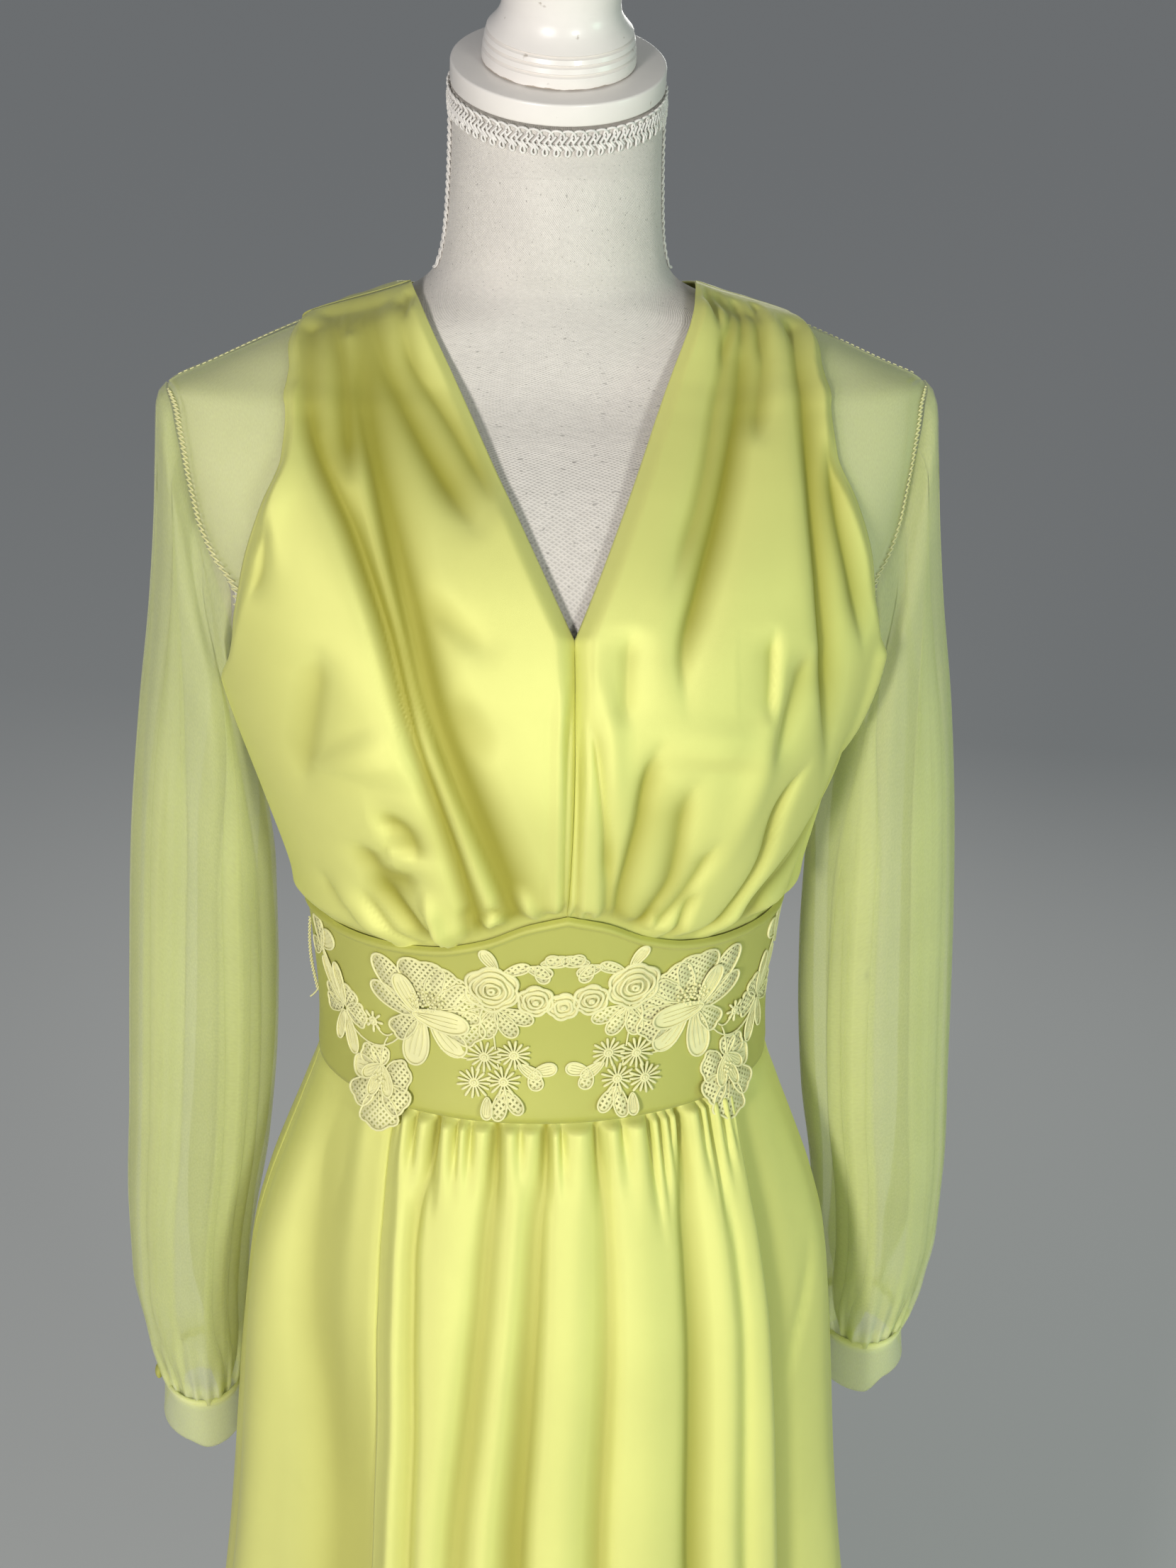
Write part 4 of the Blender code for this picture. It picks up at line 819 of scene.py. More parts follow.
def beside(angle, height, distance):
    """The angle that lies a distance along the body from another."""
    turn = np.radians(angle)
    depth = np.where(np.cos(turn) > 0, FRONT(height), BACK(height))
    reach = np.hypot(HALF_WIDTH(height) * np.cos(turn), depth * np.sin(turn))
    return angle + np.degrees(distance / reach)


def fold_wave(share, down, folds):
    """How far a panel's folds stand out, in metres, across and down the panel."""
    total = sum(fold.width for fold in folds)
    edges = np.concatenate(([0.0], np.cumsum(column(folds, "width")))) / total
    which = np.clip(np.searchsorted(edges, share, side="right") - 1, 0, len(folds) - 1)
    t = (share - edges[which]) / (edges[which + 1] - edges[which])
    rise = (1 - np.cos(2 * np.pi * t)) / 2
    top = np.array(column(folds, "top"))[which]
    middle = np.array(column(folds, "middle"))[which]
    foot = np.array(column(folds, "foot"))[which]
    upper = mix(top, middle, np.clip(down * 2, 0, 1))
    lower = mix(middle, foot, np.clip(down * 2 - 1, 0, 1))
    return rise * np.where(down < 0.5, upper, lower) / 1000


def through_three(first, middle, last, t):
    """A parabola through three values, at shares of the way along."""
    return first * (1 - t) * (1 - 2 * t) + 4 * middle * t * (1 - t) + last * t * (2 * t - 1)


def close_to(line, spots, reach):
    """Which spots lie within a reach of the box round a line."""
    near = np.all(spots > line.min(axis=0) - reach, axis=1)
    return near & np.all(spots < line.max(axis=0) + reach, axis=1)


def nearest_on(line, spots):
    """For each spot, its distance from the line, how far to one side, and the share along."""
    best = np.full(len(spots), 1e9)
    aside = np.zeros(len(spots))
    along = np.zeros(len(spots))
    for k, (a, b) in enumerate(zip(line, line[1:])):
        run = b - a
        part = np.clip((spots - a) @ run / (run @ run + TINY), 0, 1)
        off = spots - (a + part[:, None] * run)
        distance = np.linalg.norm(off, axis=1)
        across = np.cross(np.array((a[0], a[1], 0.0)), run)
        across /= np.linalg.norm(across) + TINY
        closer = distance < best
        best[closer] = distance[closer]
        aside[closer] = off[closer] @ across
        along[closer] = (k + part[closer]) / (len(line) - 1)
    return best, aside, along


def end_fades(seams, along, taper):
    """How a fold fades towards its ends, apart from an end that runs into a seam."""
    start = 1.0 if seams in ("s", "b") else soft_step(along / taper)
    end = 1.0 if seams in ("e", "b") else soft_step((1 - along) / taper)
    return start * end


def crease_relief(spots, creases, strength=1.0):
    """What the drawn troughs and ridges add at each spot of the body, in metres."""
    relief = np.zeros(len(spots))
    t = np.linspace(0, 1, CREASE_STEPS)
    for crease in creases:
        angle = through_three(crease.a1, crease.a2, crease.a3, t)
        line = on_body(angle, through_three(crease.h1, crease.h2, crease.h3, t))
        width = crease.width / 1000
        near = close_to(line, spots, 4 * width)
        if not near.any():
            continue
        best, aside, along = nearest_on(line, spots[near])
        sided = width * (1 - crease.lean * np.sign(aside) * LEAN_SHARE)
        fades = end_fades(crease.seams, along, 0.42)
        relief[near] += crease.depth / 1000 * hump(best / sided) * fades
    return relief * strength


def smooth_path(stations, pieces=6):
    """A soft line through points, with several short pieces to each of its spans."""
    before = 2 * stations[0] - stations[1]
    after = 2 * stations[-1] - stations[-2]
    ends = np.concatenate(([before], stations, [after]))
    t = (np.arange(pieces) / pieces)[None, :, None]
    a, b, c, d = (ends[k : len(ends) - 3 + k][:, None, :] for k in range(4))
    path = 2 * b + (c - a) * t + (2 * a - 5 * b + 4 * c - d) * t**2 + (3 * b - a - 3 * c + d) * t**3
    return np.concatenate(((path / 2).reshape(-1, 3), stations[-1:]))


def long_relief(spots, folds):
    """What the long gathers add at each spot: narrow valleys between rounded puffs."""
    relief = np.zeros(len(spots))
    for fold in folds:
        stations = np.array(fold.stations)
        line = smooth_path(on_body(stations[:, 0], stations[:, 1]))
        near = close_to(line, spots, 5 * max(fold.top, fold.foot) / 1000)
        if not near.any():
            continue
        best, aside, along = nearest_on(line, spots[near])
        width = 1.25 * mix(fold.top, fold.foot, along) / 1000
        off = best / (width * (1 - fold.lean * aside / (best + 0.0006) * LEAN_SHARE))
        if fold.depth < 0:
            profile, taper = np.exp(FOLD_CORE - np.sqrt(off**2 + FOLD_CORE**2)), 0.3
        else:
            profile, taper = hump(off), 0.5
        relief[near] += fold.depth / 1000 * profile * end_fades(fold.seams, along, taper)
    return relief


def drape_relief(share, height, reach, drapes):
    """Long folds of a skirt panel; reach is the panel's width at each height."""
    places = DRAPE_HEIGHTS[::-1]
    relief = np.zeros_like(share)
    for drape in drapes:
        hip_width, hip_depth = (drape.w1 + drape.w2) / 2, (drape.d1 + drape.d2) / 2
        centre = SmoothCurve(places, (drape.hem, drape.thigh, drape.hip, drape.band))(height)
        width = SmoothCurve(places, (drape.w3, drape.w2, hip_width, drape.w1))(height)
        depth = SmoothCurve(places, (drape.d3, drape.d2, hip_depth, drape.d1))(height)
        off = (share - centre) * reach * 1000
        relief += depth * hump(off / (width * (1 - LEAN_SHARE * drape.lean * np.sign(off))))
    return relief / 1000


def pinch_relief(share, drop, reach, pinches, puff):
    """Short gathers that run from a seam, with puffed cloth between their pinches."""
    relief = np.zeros_like(share)
    for pinch in pinches:
        fade = soft_step(1 - drop / (pinch.length / 100)) ** 1.3
        width = pinch.width / 1000 * (0.95 + 17 * drop)
        across = hump((share - pinch.share) * reach / width)
        relief -= pinch.depth / 1000 * PINCH_STRENGTH * across * fade
    for left, right in zip(pinches, pinches[1:]):
        inside = (share > left.share) & (share < right.share)
        part = (share - left.share) / (right.share - left.share)
        length = (left.length + right.length) / 200
        rounded = np.sin(np.pi * np.clip(part, 0, 1)) ** 2
        relief += inside * rounded * puff * soft_step(1 - drop / length)
    return relief


def cloth_mesh(name, across, down, size, place, ring=False, crowd=1.0):
    """A grid of cloth, shaped by place(u, v) with u across and v down. Its UV map is in
    metres of flat cloth, and its float attribute of painted fold tone is high in the troughs,
    laps and gathers, where the satin is painted darker as painted shade and the chiffon
    lighter as painted light. A crowd above 1 gathers the rows near the top."""
    mesh = bpy.data.meshes.new(name)
    grid = bmesh.new()
    grid.loops.layers.uv.new("UVMap")
    bmesh.ops.create_grid(grid, x_segments=across, y_segments=down, size=0.5, calc_uvs=True)
    flat = np.array([v.co for v in grid.verts])
    points, hollow = place(flat[:, 0] + 0.5, (0.5 - flat[:, 1]) ** crowd)
    layer = grid.verts.layers.float.new("hollow")
    for vertex, point, depth in zip(grid.verts, points, np.broadcast_to(hollow, len(points))):
        vertex.co = point
        vertex[layer] = depth
    if ring:
        bmesh.ops.remove_doubles(grid, verts=grid.verts, dist=0.00001)
    grid.to_mesh(mesh)
    grid.free()
    uv = mesh.uv_layers[0].data
    values = np.zeros(len(uv) * 2)
    uv.foreach_get("uv", values)
    values = values.reshape(-1, 2)
    values[:, 1] = 1 - (1 - values[:, 1]) ** crowd
    uv.foreach_set("uv", (values * np.array(size)).ravel())
    mesh.shade_smooth()
    return mesh


def new_piece(name, mesh, material, replaced=()):
    """Links a finished mesh, gives it its material and ties it to the frame."""
    piece = bpy.data.objects.new(name, mesh)
    bpy.context.scene.collection.objects.link(piece)
    mesh.materials.clear()
    mesh.materials.append(material)
    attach(piece, "root")
    if replaced:
        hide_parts(*replaced)
    return piece


def give_wall(piece, thickness, offset=0.0):
    wall = piece.modifiers.new("Wall", "SOLIDIFY")
    wall.thickness = thickness
    wall.offset = offset
    wall.use_quality_normals = True
    return piece


def mesh_from(grid, name):
    mesh = bpy.data.meshes.new(name)
    grid.to_mesh(mesh)
    grid.free()
    mesh.shade_smooth()
    return mesh


# Sizes and colours that a user would change


def length_property(name, description, default):
    return bpy.props.FloatProperty(name=name, description=description, default=default, unit="LENGTH")


def colour_property(name, description, default):
    return bpy.props.FloatVectorProperty(
        name=name, description=description, subtype="COLOR", default=default
    )


class MaxiDressSizes(bpy.types.PropertyGroup):
    satin: length_property("Satin", "Thickness of the satin", 0.0009)
    sheer: length_property("Chiffon", "Thickness of the chiffon", 0.0005)
    creases: bpy.props.FloatProperty(
        name="Creases", description="Depth of the bodice's creases", default=1.5, subtype="FACTOR"
    )
    cord: length_property("Lace cord", "Radius of the lace's cords", 0.00052)
    stitch: length_property("Stitch", "Length of a stitch", 0.0028)
    floor_reach: length_property("Floor reach", "Half the width of the floor", 40.0)


class MaxiDressColours(bpy.types.PropertyGroup):
    satin: colour_property("Satin", "Colour of the satin", (0.74, 0.745, 0.230))
    chiffon: colour_property("Chiffon", "Colour of the chiffon", (0.82, 0.88, 0.36))
    lace: colour_property("Lace", "Colour of the lace", (0.80, 0.77, 0.40))
    linen: colour_property("Linen", "Colour of the form's cover", (0.70, 0.66, 0.61))
    braid: colour_property("Braid", "Colour of the gimp braid", (0.80, 0.77, 0.73))
    paint: colour_property("Paint", "Colour of the painted wood", (0.80, 0.76, 0.72))
    floor: colour_property("Floor", "Colour of the floor", (0.72, 0.72, 0.71))


# Materials


def new_group(name, inputs, outputs):
    """An empty shader group with named inputs (kind, default) and outputs."""
    group = bpy.data.node_groups.new(name, "ShaderNodeTree")
    for label, kind, value in inputs:
        socket = group.interface.new_socket(label, in_out="INPUT", socket_type="NodeSocket" + kind)
        if value is not None:
            socket.default_value = value
    for label, kind in outputs:
        group.interface.new_socket(label, in_out="OUTPUT", socket_type="NodeSocket" + kind)
    return group


def set_inputs(tree, node, values):
    """Gives a node's inputs their numbers, or links them to sockets."""
    for name, value in values.items():
        if isinstance(value, bpy.types.NodeSocket):
            tree.links.new(value, node.inputs[name])
        else:
            node.inputs[name].default_value = value
    return node


def add_node(tree, kind, values=None, **settings):
    """A node with its settings; values are numbers or sockets for its inputs."""
    node = tree.nodes.new("ShaderNode" + kind)
    for name, value in settings.items():
        setattr(node, name, value)
    return set_inputs(tree, node, values or {})


def weave_group():
    """The height of crossing threads with slubs, from a flat place."""
    group = new_group(
        "Weave",
        (("Place", "Vector", None), ("Threads", "Float", 800.0), ("Slub", "Float", 0.3)),
        (("Height", "Float"),),
    )
    start = group.nodes.new("NodeGroupInput")
    end = group.nodes.new("NodeGroupOutput")
    scale = add_node(
        group,
        "VectorMath",
        {0: start.outputs["Place"], "Scale": start.outputs["Threads"]},
        operation="SCALE",
    )
    thread = {"Vector": scale.outputs[0], "Scale": 0.32, "Distortion": 1.6, "Detail": 1.0}
    waves = [add_node(group, "TexWave", thread, bands_direction=axis).outputs["Fac"] for axis in "XY"]
    higher = add_node(group, "Math", {0: waves[0], 1: waves[1]}, operation="MAXIMUM")
    noise = add_node(group, "TexNoise", {"Vector": scale.outputs[0], "Scale": 0.35, "Detail": 3.0})
    slubs = {0: noise.outputs["Fac"], 1: start.outputs["Slub"]}
    slub = add_node(group, "Math", slubs, operation="MULTIPLY")
    total = add_node(group, "Math", {0: higher.outputs[0], 1: slub.outputs[0]})
    group.links.new(total.outputs[0], end.inputs["Height"])
    return group


def mottle_group():
    """Soft uneven patches of a colour over a piece."""
    inputs = (
        ("Place", "Vector", None),
        ("Scale", "Float", 9.0),
        ("Light", "Color", None),
        ("Deep", "Color", None),
    )
    group = new_group("Mottle", inputs, (("Color", "Color"),))
    start = group.nodes.new("NodeGroupInput")
    end = group.nodes.new("NodeGroupOutput")
    patches = {"Vector": start.outputs["Place"], "Scale": start.outputs["Scale"], "Detail": 4.0}
    noise = add_node(group, "TexNoise", patches)
    spread = add_node(group, "MapRange", {0: noise.outputs["Fac"], 1: 0.35, 2: 0.65})
    mixed = blended(group, spread.outputs[0], start.outputs["Deep"], start.outputs["Light"])
    group.links.new(mixed, end.inputs["Color"])
    return group


def placed_group(tree, name, make, values):
    """A node for a shader group, which is made where it is first used."""
    node = tree.nodes.new("ShaderNodeGroup")
    node.node_tree = bpy.data.node_groups.get(name) or make()
    return set_inputs(tree, node, values)


def blended(tree, share, low, high):
    """A colour between two others, by a share."""
    return add_node(tree, "Mix", {"Factor": share, 6: low, 7: high}, data_type="RGBA").outputs[2]


def mottled(tree, place, scale, light, deep):
    """The colour of the uneven patches at a place."""
    values = {"Place": place, "Scale": scale, "Light": light, "Deep": deep}
    return placed_group(tree, "Mottle", mottle_group, values).outputs["Color"]


def woven(tree, place, threads, slub):
    """The height of the threads at a place."""
    values = {"Place": place, "Threads": threads, "Slub": slub}
    return placed_group(tree, "Weave", weave_group, values).outputs["Height"]


def colour(value, factor=1.0, tint=(1.0, 1.0, 1.0)):
    return tuple(min(1.0, channel * factor * t) for channel, t in zip(value, tint)) + (1.0,)


def new_material(name, settings):
    material = bpy.data.materials.new(name)
    material.use_nodes = True
    tree = material.node_tree
    shader = tree.nodes["Principled BSDF"]
    for socket, value in settings.items():
        shader.inputs[socket].default_value = value
    return material, tree, shader


def bump(tree, shader, height, distance, strength):
    node = add_node(tree, "Bump", {"Height": height, "Distance": distance, "Strength": strength})
    tree.links.new(node.outputs["Normal"], shader.inputs["Normal"])


def satin_material(name, base, roughness=0.47, metallic=0.24):
    """A satin-faced cloth: a fine diagonal face, soft patches, and painted shade that darkens its colour
    in the troughs.
    """
    looks = {"Roughness": roughness, "Metallic": metallic, "Sheen Weight": 0.08, "Sheen Roughness": 0.4}
    material, tree, shader = new_material(name, looks)
    place = add_node(tree, "UVMap", uv_map="UVMap").outputs[0]
    patches = mottled(tree, place, 11.0, colour(base), colour(base, 0.95))
    # Painted shade: where the fold attribute is high, in the troughs, the colour is mixed towards a
    # darker, more golden copy of the satin.
    hollow = add_node(tree, "Attribute", attribute_name="hollow").outputs["Fac"]
    painted_trough_shade = blended(tree, hollow, patches, colour(base, 0.49, (1.0, 0.94, 0.38)))
    tree.links.new(painted_trough_shade, shader.inputs["Base Color"])
    turned = add_node(tree, "Mapping", {"Vector": place, "Rotation": (0.0, 0.0, 0.9)})
    height = woven(tree, turned.outputs[0], 5200.0, 1.6)
    grain = add_node(tree, "TexNoise", {"Vector": place, "Scale": 1500.0, "Detail": 2.0}).outputs["Fac"]
    both = add_node(tree, "Math", {0: height, 1: grain})
    bump(tree, shader, both.outputs[0], 0.00012, 0.35)
    rough = add_node(tree, "MapRange", {0: grain, 3: roughness - 0.05, 4: roughness + 0.07})
    tree.links.new(rough.outputs[0], shader.inputs["Roughness"])
    return material


def chiffon_material(name, base, cover):
    """Sheer matte cloth that lets what is behind it through; where its fold attribute is high it is
    painted lighter and lets less through.
    """
    looks = {
        "Roughness": 0.7,
        "Sheen Weight": 0.15,
        "Subsurface Weight": 0.5,
        "Subsurface Radius": (0.004, 0.004, 0.003),
        "Subsurface Scale": 1.0,
    }
    material, tree, shader = new_material(name, looks)
    place = add_node(tree, "UVMap", uv_map="UVMap").outputs[0]
    patches = mottled(tree, place, 14.0, colour(base, 1.03), colour(base, 0.96))
    # Painted light: where the fold attribute is high, the colour is mixed towards a lighter copy of the
    # chiffon; the same attribute also raises the cover.
    hollow = add_node(tree, "Attribute", attribute_name="hollow").outputs["Fac"]
    painted_fold_light = blended(tree, hollow, patches, colour(base, 1.12, (1.0, 0.98, 0.95)))
    tree.links.new(painted_fold_light, shader.inputs["Base Color"])
    drawn = add_node(tree, "Mapping", {"Vector": place, "Scale": (1.0, 0.35, 1.0)}).outputs[0]
    grain = add_node(tree, "TexNoise", {"Vector": drawn, "Scale": 1500.0, "Detail": 2.0}).outputs["Fac"]
    sheer = add_node(tree, "MapRange", {0: grain, 1: 0.3, 2: 0.7, 3: cover - 0.02, 4: cover + 0.02})
    fuller = add_node(tree, "Math", {0: hollow, 1: 0.35, 2: sheer.outputs[0]}, operation="MULTIPLY_ADD")
    tree.links.new(fuller.outputs[0], shader.inputs["Alpha"])
    bump(tree, shader, grain, 0.00003, 0.2)
    return material


def lace_material(name, base, netted):
    """Corded cotton lace; a netted filling has square meshes cut through."""
    material, tree, shader = new_material(name, {"Roughness": 0.82, "Sheen Weight": 0.15})
    place = add_node(tree, "TexCoord").outputs["Object"]
    patches = mottled(tree, place, 60.0, colour(base), colour(base, 0.90))
    tree.links.new(patches, shader.inputs["Base Color"])
    thread = add_node(tree, "TexNoise", {"Vector": place, "Scale": 2600.0, "Detail": 2.0})
    bump(tree, shader, thread.outputs["Fac"], 0.0003, 0.6)
    if netted:
        flat = add_node(tree, "UVMap", uv_map="UVMap").outputs[0]
        turned = add_node(tree, "Mapping", {"Vector": flat, "Rotation": (0.0, 0.0, 0.6)})
        parts = add_node(tree, "SeparateXYZ", {0: turned.outputs[0]})
        meshes = []
        for axis in ("X", "Y"):
            scaled = add_node(tree, "Math", {0: parts.outputs[axis], 1: 2700.0}, operation="MULTIPLY")
            meshes.append(add_node(tree, "Math", {0: scaled.outputs[0]}, operation="SINE").outputs[0])
        crossing = add_node(tree, "Math", {0: meshes[0], 1: meshes[1]}, operation="MAXIMUM")
        threads = add_node(tree, "MapRange", {0: crossing.outputs[0], 1: -0.25, 2: 0.15, 3: 0.12, 4: 1.0})
        tree.links.new(threads.outputs[0], shader.inputs["Alpha"])
    return material


def linen_material(base):
    """Plain woven linen with slubs and small dark specks."""
    material, tree, shader = new_material("linen_cover", {"Roughness": 0.88, "Sheen Weight": 0.1})
    place = add_node(tree, "UVMap", uv_map="UVMap").outputs[0]
    slanted = add_node(tree, "Mapping", {"Vector": place, "Rotation": (0.0, 0.0, 0.72)})
    height = woven(tree, slanted.outputs[0], 760.0, 1.2)
    patches = mottled(tree, place, 20.0, colour(base), colour(base, 0.93))
    threads = add_node(tree, "MapRange", {0: height, 1: 0.3, 2: 2.0, 3: 0.76, 4: 1.12})
    shaded = {0: patches, "Scale": threads.outputs[0]}
    cloth = add_node(tree, "VectorMath", shaded, operation="SCALE")
    specks = add_node(tree, "TexNoise", {"Vector": place, "Scale": 380.0, "Detail": 1.0})
    dark = add_node(tree, "MapRange", {0: specks.outputs["Fac"], 1: 0.690, 2: 0.73, 3: 0.0, 4: 0.70})
    spotted = blended(tree, dark.outputs[0], cloth.outputs[0], colour(base, 0.45))
    tree.links.new(spotted, shader.inputs["Base Color"])
    bump(tree, shader, height, 0.00035, 0.55)
    return material


def braid_material(base):
    """Pale looped thread."""
    material, tree, shader = new_material("braid_thread", {"Roughness": 0.6, "Sheen Weight": 0.2})
    place = add_node(tree, "TexCoord").outputs["Object"]
    patches = mottled(tree, place, 180.0, colour(base), colour(base, 0.86))
    tree.links.new(patches, shader.inputs["Base Color"])
    thread = add_node(tree, "TexNoise", {"Vector": place, "Scale": 1800.0})
    bump(tree, shader, thread.outputs["Fac"], 0.0003, 0.5)
    return material


def paint_material(base):
    """White gloss paint on wood, brushed, with small chips and grime in the edges."""
    material, tree, shader = new_material("white_paint", {"Roughness": 0.3, "Coat Weight": 0.25})
    place = add_node(tree, "TexCoord").outputs["Object"]
    patches = mottled(tree, place, 26.0, colour(base), colour(base, 0.93))
    chips = add_node(tree, "TexNoise", {"Vector": place, "Scale": 130.0, "Detail": 5.0}).outputs["Fac"]
    chipped = add_node(tree, "MapRange", {0: chips, 1: 0.70, 2: 0.74, 3: 0.0, 4: 0.6})
    edge = add_node(tree, "Attribute", attribute_name="worn").outputs["Fac"]
    ragged = add_node(tree, "MapRange", {0: chips, 1: 0.30, 2: 0.72, 3: -0.45, 4: 0.75})
    along = add_node(tree, "Math", {0: edge, 1: ragged.outputs[0]}, operation="ADD")
    grimed = add_node(tree, "MapRange", {0: along.outputs[0], 1: 0.70, 2: 0.95, 3: 0.0, 4: 0.85})
    here = add_node(tree, "Math", {0: edge, 1: 0.05}, operation="GREATER_THAN")
    line = add_node(tree, "Math", {0: grimed.outputs[0], 1: here.outputs[0]}, operation="MULTIPLY")
    marks = add_node(tree, "Math", {0: chipped.outputs[0], 1: line.outputs[0]}, operation="MAXIMUM")
    worn = blended(tree, marks.outputs[0], patches, (0.33, 0.27, 0.21, 1.0))
    tree.links.new(worn, shader.inputs["Base Color"])
    rough = add_node(tree, "MapRange", {0: chips, 3: 0.24, 4: 0.42})
    tree.links.new(rough.outputs[0], shader.inputs["Roughness"])
    brushed = add_node(tree, "Mapping", {"Vector": place, "Scale": (1.0, 1.0, 14.0)})
    strokes = add_node(tree, "TexNoise", {"Vector": brushed.outputs[0], "Scale": 40.0, "Detail": 3.0})
    bump(tree, shader, strokes.outputs["Fac"], 0.0004, 0.12)
    return material


def finishes():
    """The materials, made once and found again by name."""
    colours = bpy.context.scene.maxi_dress_colours
    band = [part * share for part, share in zip(colours.satin, (0.66, 0.66, 0.50))]
    # Painted light: the yokes get a copy of the chiffon made lighter by a twentieth.
    yoke = [part * 1.05 for part in colours.chiffon]
    makers = {
        "satin_face": lambda: satin_material("satin_face", colours.satin),
        "band_satin": lambda: satin_material("band_satin", band, roughness=0.50, metallic=0.15),
        "sleeve_chiffon": lambda: chiffon_material("sleeve_chiffon", colours.chiffon, 0.28),
        "cuff_chiffon": lambda: chiffon_material("cuff_chiffon", colours.chiffon, 0.36),
        "yoke_chiffon": lambda: chiffon_material("yoke_chiffon", yoke, 0.33),
        "guipure_cord": lambda: lace_material("guipure_cord", colours.lace, False),
        "guipure_net": lambda: lace_material("guipure_net", colours.lace, True),
        "linen_cover": lambda: linen_material(colours.linen),
        "braid_thread": lambda: braid_material(colours.braid),
        "white_paint": lambda: paint_material(colours.paint),
    }
    for name, make in makers.items():
        if name not in bpy.data.materials:
            make()
    return bpy.data.materials


# Shapes of the cut pieces


def bodice_front_place(side, strength):
    """Places of one bodice front; side is 1 for the right and -1 for the left."""
    inner_height = row_curve(BODICE_ROWS, "inner_height")
    outer_angle = row_curve(BODICE_ROWS, "outer_angle")
    outer_height = row_curve(BODICE_ROWS, "outer_height")
    spread = row_curve(BODICE_ROWS, "spread")
    last = len(BODICE_ROWS) - 1
    creases = RIGHT_CREASES if side > 0 else LEFT_CREASES
    long_folds = RIGHT_LONG_FOLDS if side > 0 else LEFT_LONG_FOLDS

    def place(u, v):
        u = u if side > 0 else 1 - u
        at = v * last
        high = inner_height(at)
        neck = np.clip((high - NECK_POINT) / (NECK_SIDE - NECK_POINT), 0, None)
        inner = np.degrees(np.arcsin(np.clip(NECK_SIDE_X * neck / HALF_WIDTH(high), 0, 1)))
        inner = np.minimum(np.maximum(inner, beside(0.0, high, SEAM_GAP)), SIDE_SEAM)
        across = u ** spread(at)
        angle = mix(inner, outer_angle(at), across)
        height = mix(high, outer_height(at), across)
        near_band = np.clip((at - last + 3) / 3, 0, None)
        height = mix(height, BAND_TOP_AT(angle) - BAND_OVERLAP, near_band**2)
        spots = on_body(angle * side, height)
        inside = soft_step(u / 0.10 + 0.25) * soft_step((1 - u) / 0.09)
        bust = hump((height - BUST_HEIGHT) / 0.095)
        above = height - BAND_TOP_AT(angle)
        lift = (FRONT_LIFT + BUST_LIFT * bust) * inside * (0.38 + 0.62 * soft_step(v / 0.09))
        lift = 0.0006 + lift * soft_step((above - 0.0005) / 0.015)
        drawn = crease_relief(spots, creases, strength) + 1.5 * long_relief(spots, long_folds)
        drawn = drawn * (0.30 + 0.70 * soft_step((1 - u) / 0.07))
        room = lift + 0.0014
        drawn = np.where(drawn < 0, -room * np.tanh(-drawn / room), drawn)
        puff = 0.0010 * hump((above - 0.012) / 0.008)
        tuck = -TUCK_DEPTH * hump(above / TUCK_REACH)
        edge = 0.0010 * soft_step((u - 0.90) / 0.08) * soft_step((height - ARMHOLE_TURN) / 0.02)
        roll = 0.0006 * hump(u / 0.03) * soft_step((height - NECK_POINT) / 0.01)
        seam = -0.0012 * hump(u / 0.010) * soft_step((NECK_POINT - height) / 0.006)
        side_seam = -SEAM_DIP * hump((1 - u) / SEAM_REACH) * soft_step((UNDERARM - height) / 0.01)
        out = lift + drawn + puff + tuck + edge + roll + seam + side_seam
        out = np.where(out < -DEEPEST, -DEEPEST + 0.35 * (out + DEEPEST), out)
        out = mix(SHOULDER_LIFT, out, soft_step(v / 0.035))
        # The painted shade share: high in the deepest troughs, where the satin is painted darker.
        full = np.clip((-drawn - 0.0017) / 0.0052, 0, 1) * (0.60 + 0.40 * soft_step(v / 0.35))
        return on_body(angle * side, height, out), full

    return place


def bodice_back_place(side):
    """Places of one bodice back, whose top corner meets the front's at the neck."""
    inner_angle = row_curve(BACK_ROWS, "inner_angle")
    inner_height = row_curve(BACK_ROWS, "inner_height")
    outer_angle = row_curve(BACK_ROWS, "outer_angle")
    outer_height = row_curve(BACK_ROWS, "outer_height")
    last = len(BACK_ROWS) - 1
    neck_angle = np.degrees(np.arcsin(np.clip(NECK_SIDE_X / HALF_WIDTH(NECK_SIDE), 0, 1)))

    def place(u, v):
        u = 1 - u if side > 0 else u
        at = v * last
        inner = np.maximum(inner_angle(at), beside(0.0, inner_height(at), SEAM_GAP))
        inner = inner + (180.0 - neck_angle - SIDE_SEAM) * soft_step(1 - v / 0.1)
        angle = mix(inner, outer_angle(at), u)
        height = mix(inner_height(at), outer_height(at), u)
        height = height - BAND_OVERLAP * soft_step((v - 0.9) / 0.1)
        out = fold_wave(u, v, BACK_FOLDS) + 0.0008
        waist = hump((height - 1.128) / 0.014)
        ripple = np.sin(u * 46 + 1.3 * np.sin(u * 11)) * 0.0009 * waist
        drag = 0.0010 * hump((u - 0.62 + 0.5 * (1.30 - height)) / 0.08)
        drag = drag * hump((height - 1.25) / 0.06)
        seam = -SEAM_DIP * hump(u / SEAM_REACH) - SEAM_DIP * hump((1 - u) / SEAM_REACH)
        tuck = -TUCK_DEPTH * hump((height - BAND_TOP_AT(angle)) / TUCK_REACH)
        out = out + ripple + drag + seam + tuck
        out = mix(SHOULDER_LIFT, out, soft_step(v / 0.05))
        # The painted shade share, high in the waist ripples and the seam dips.
        hollow = np.clip(-(ripple + seam) / 0.004, 0, 1)
        return on_body((180.0 - angle) * side, height, out), hollow

    return place


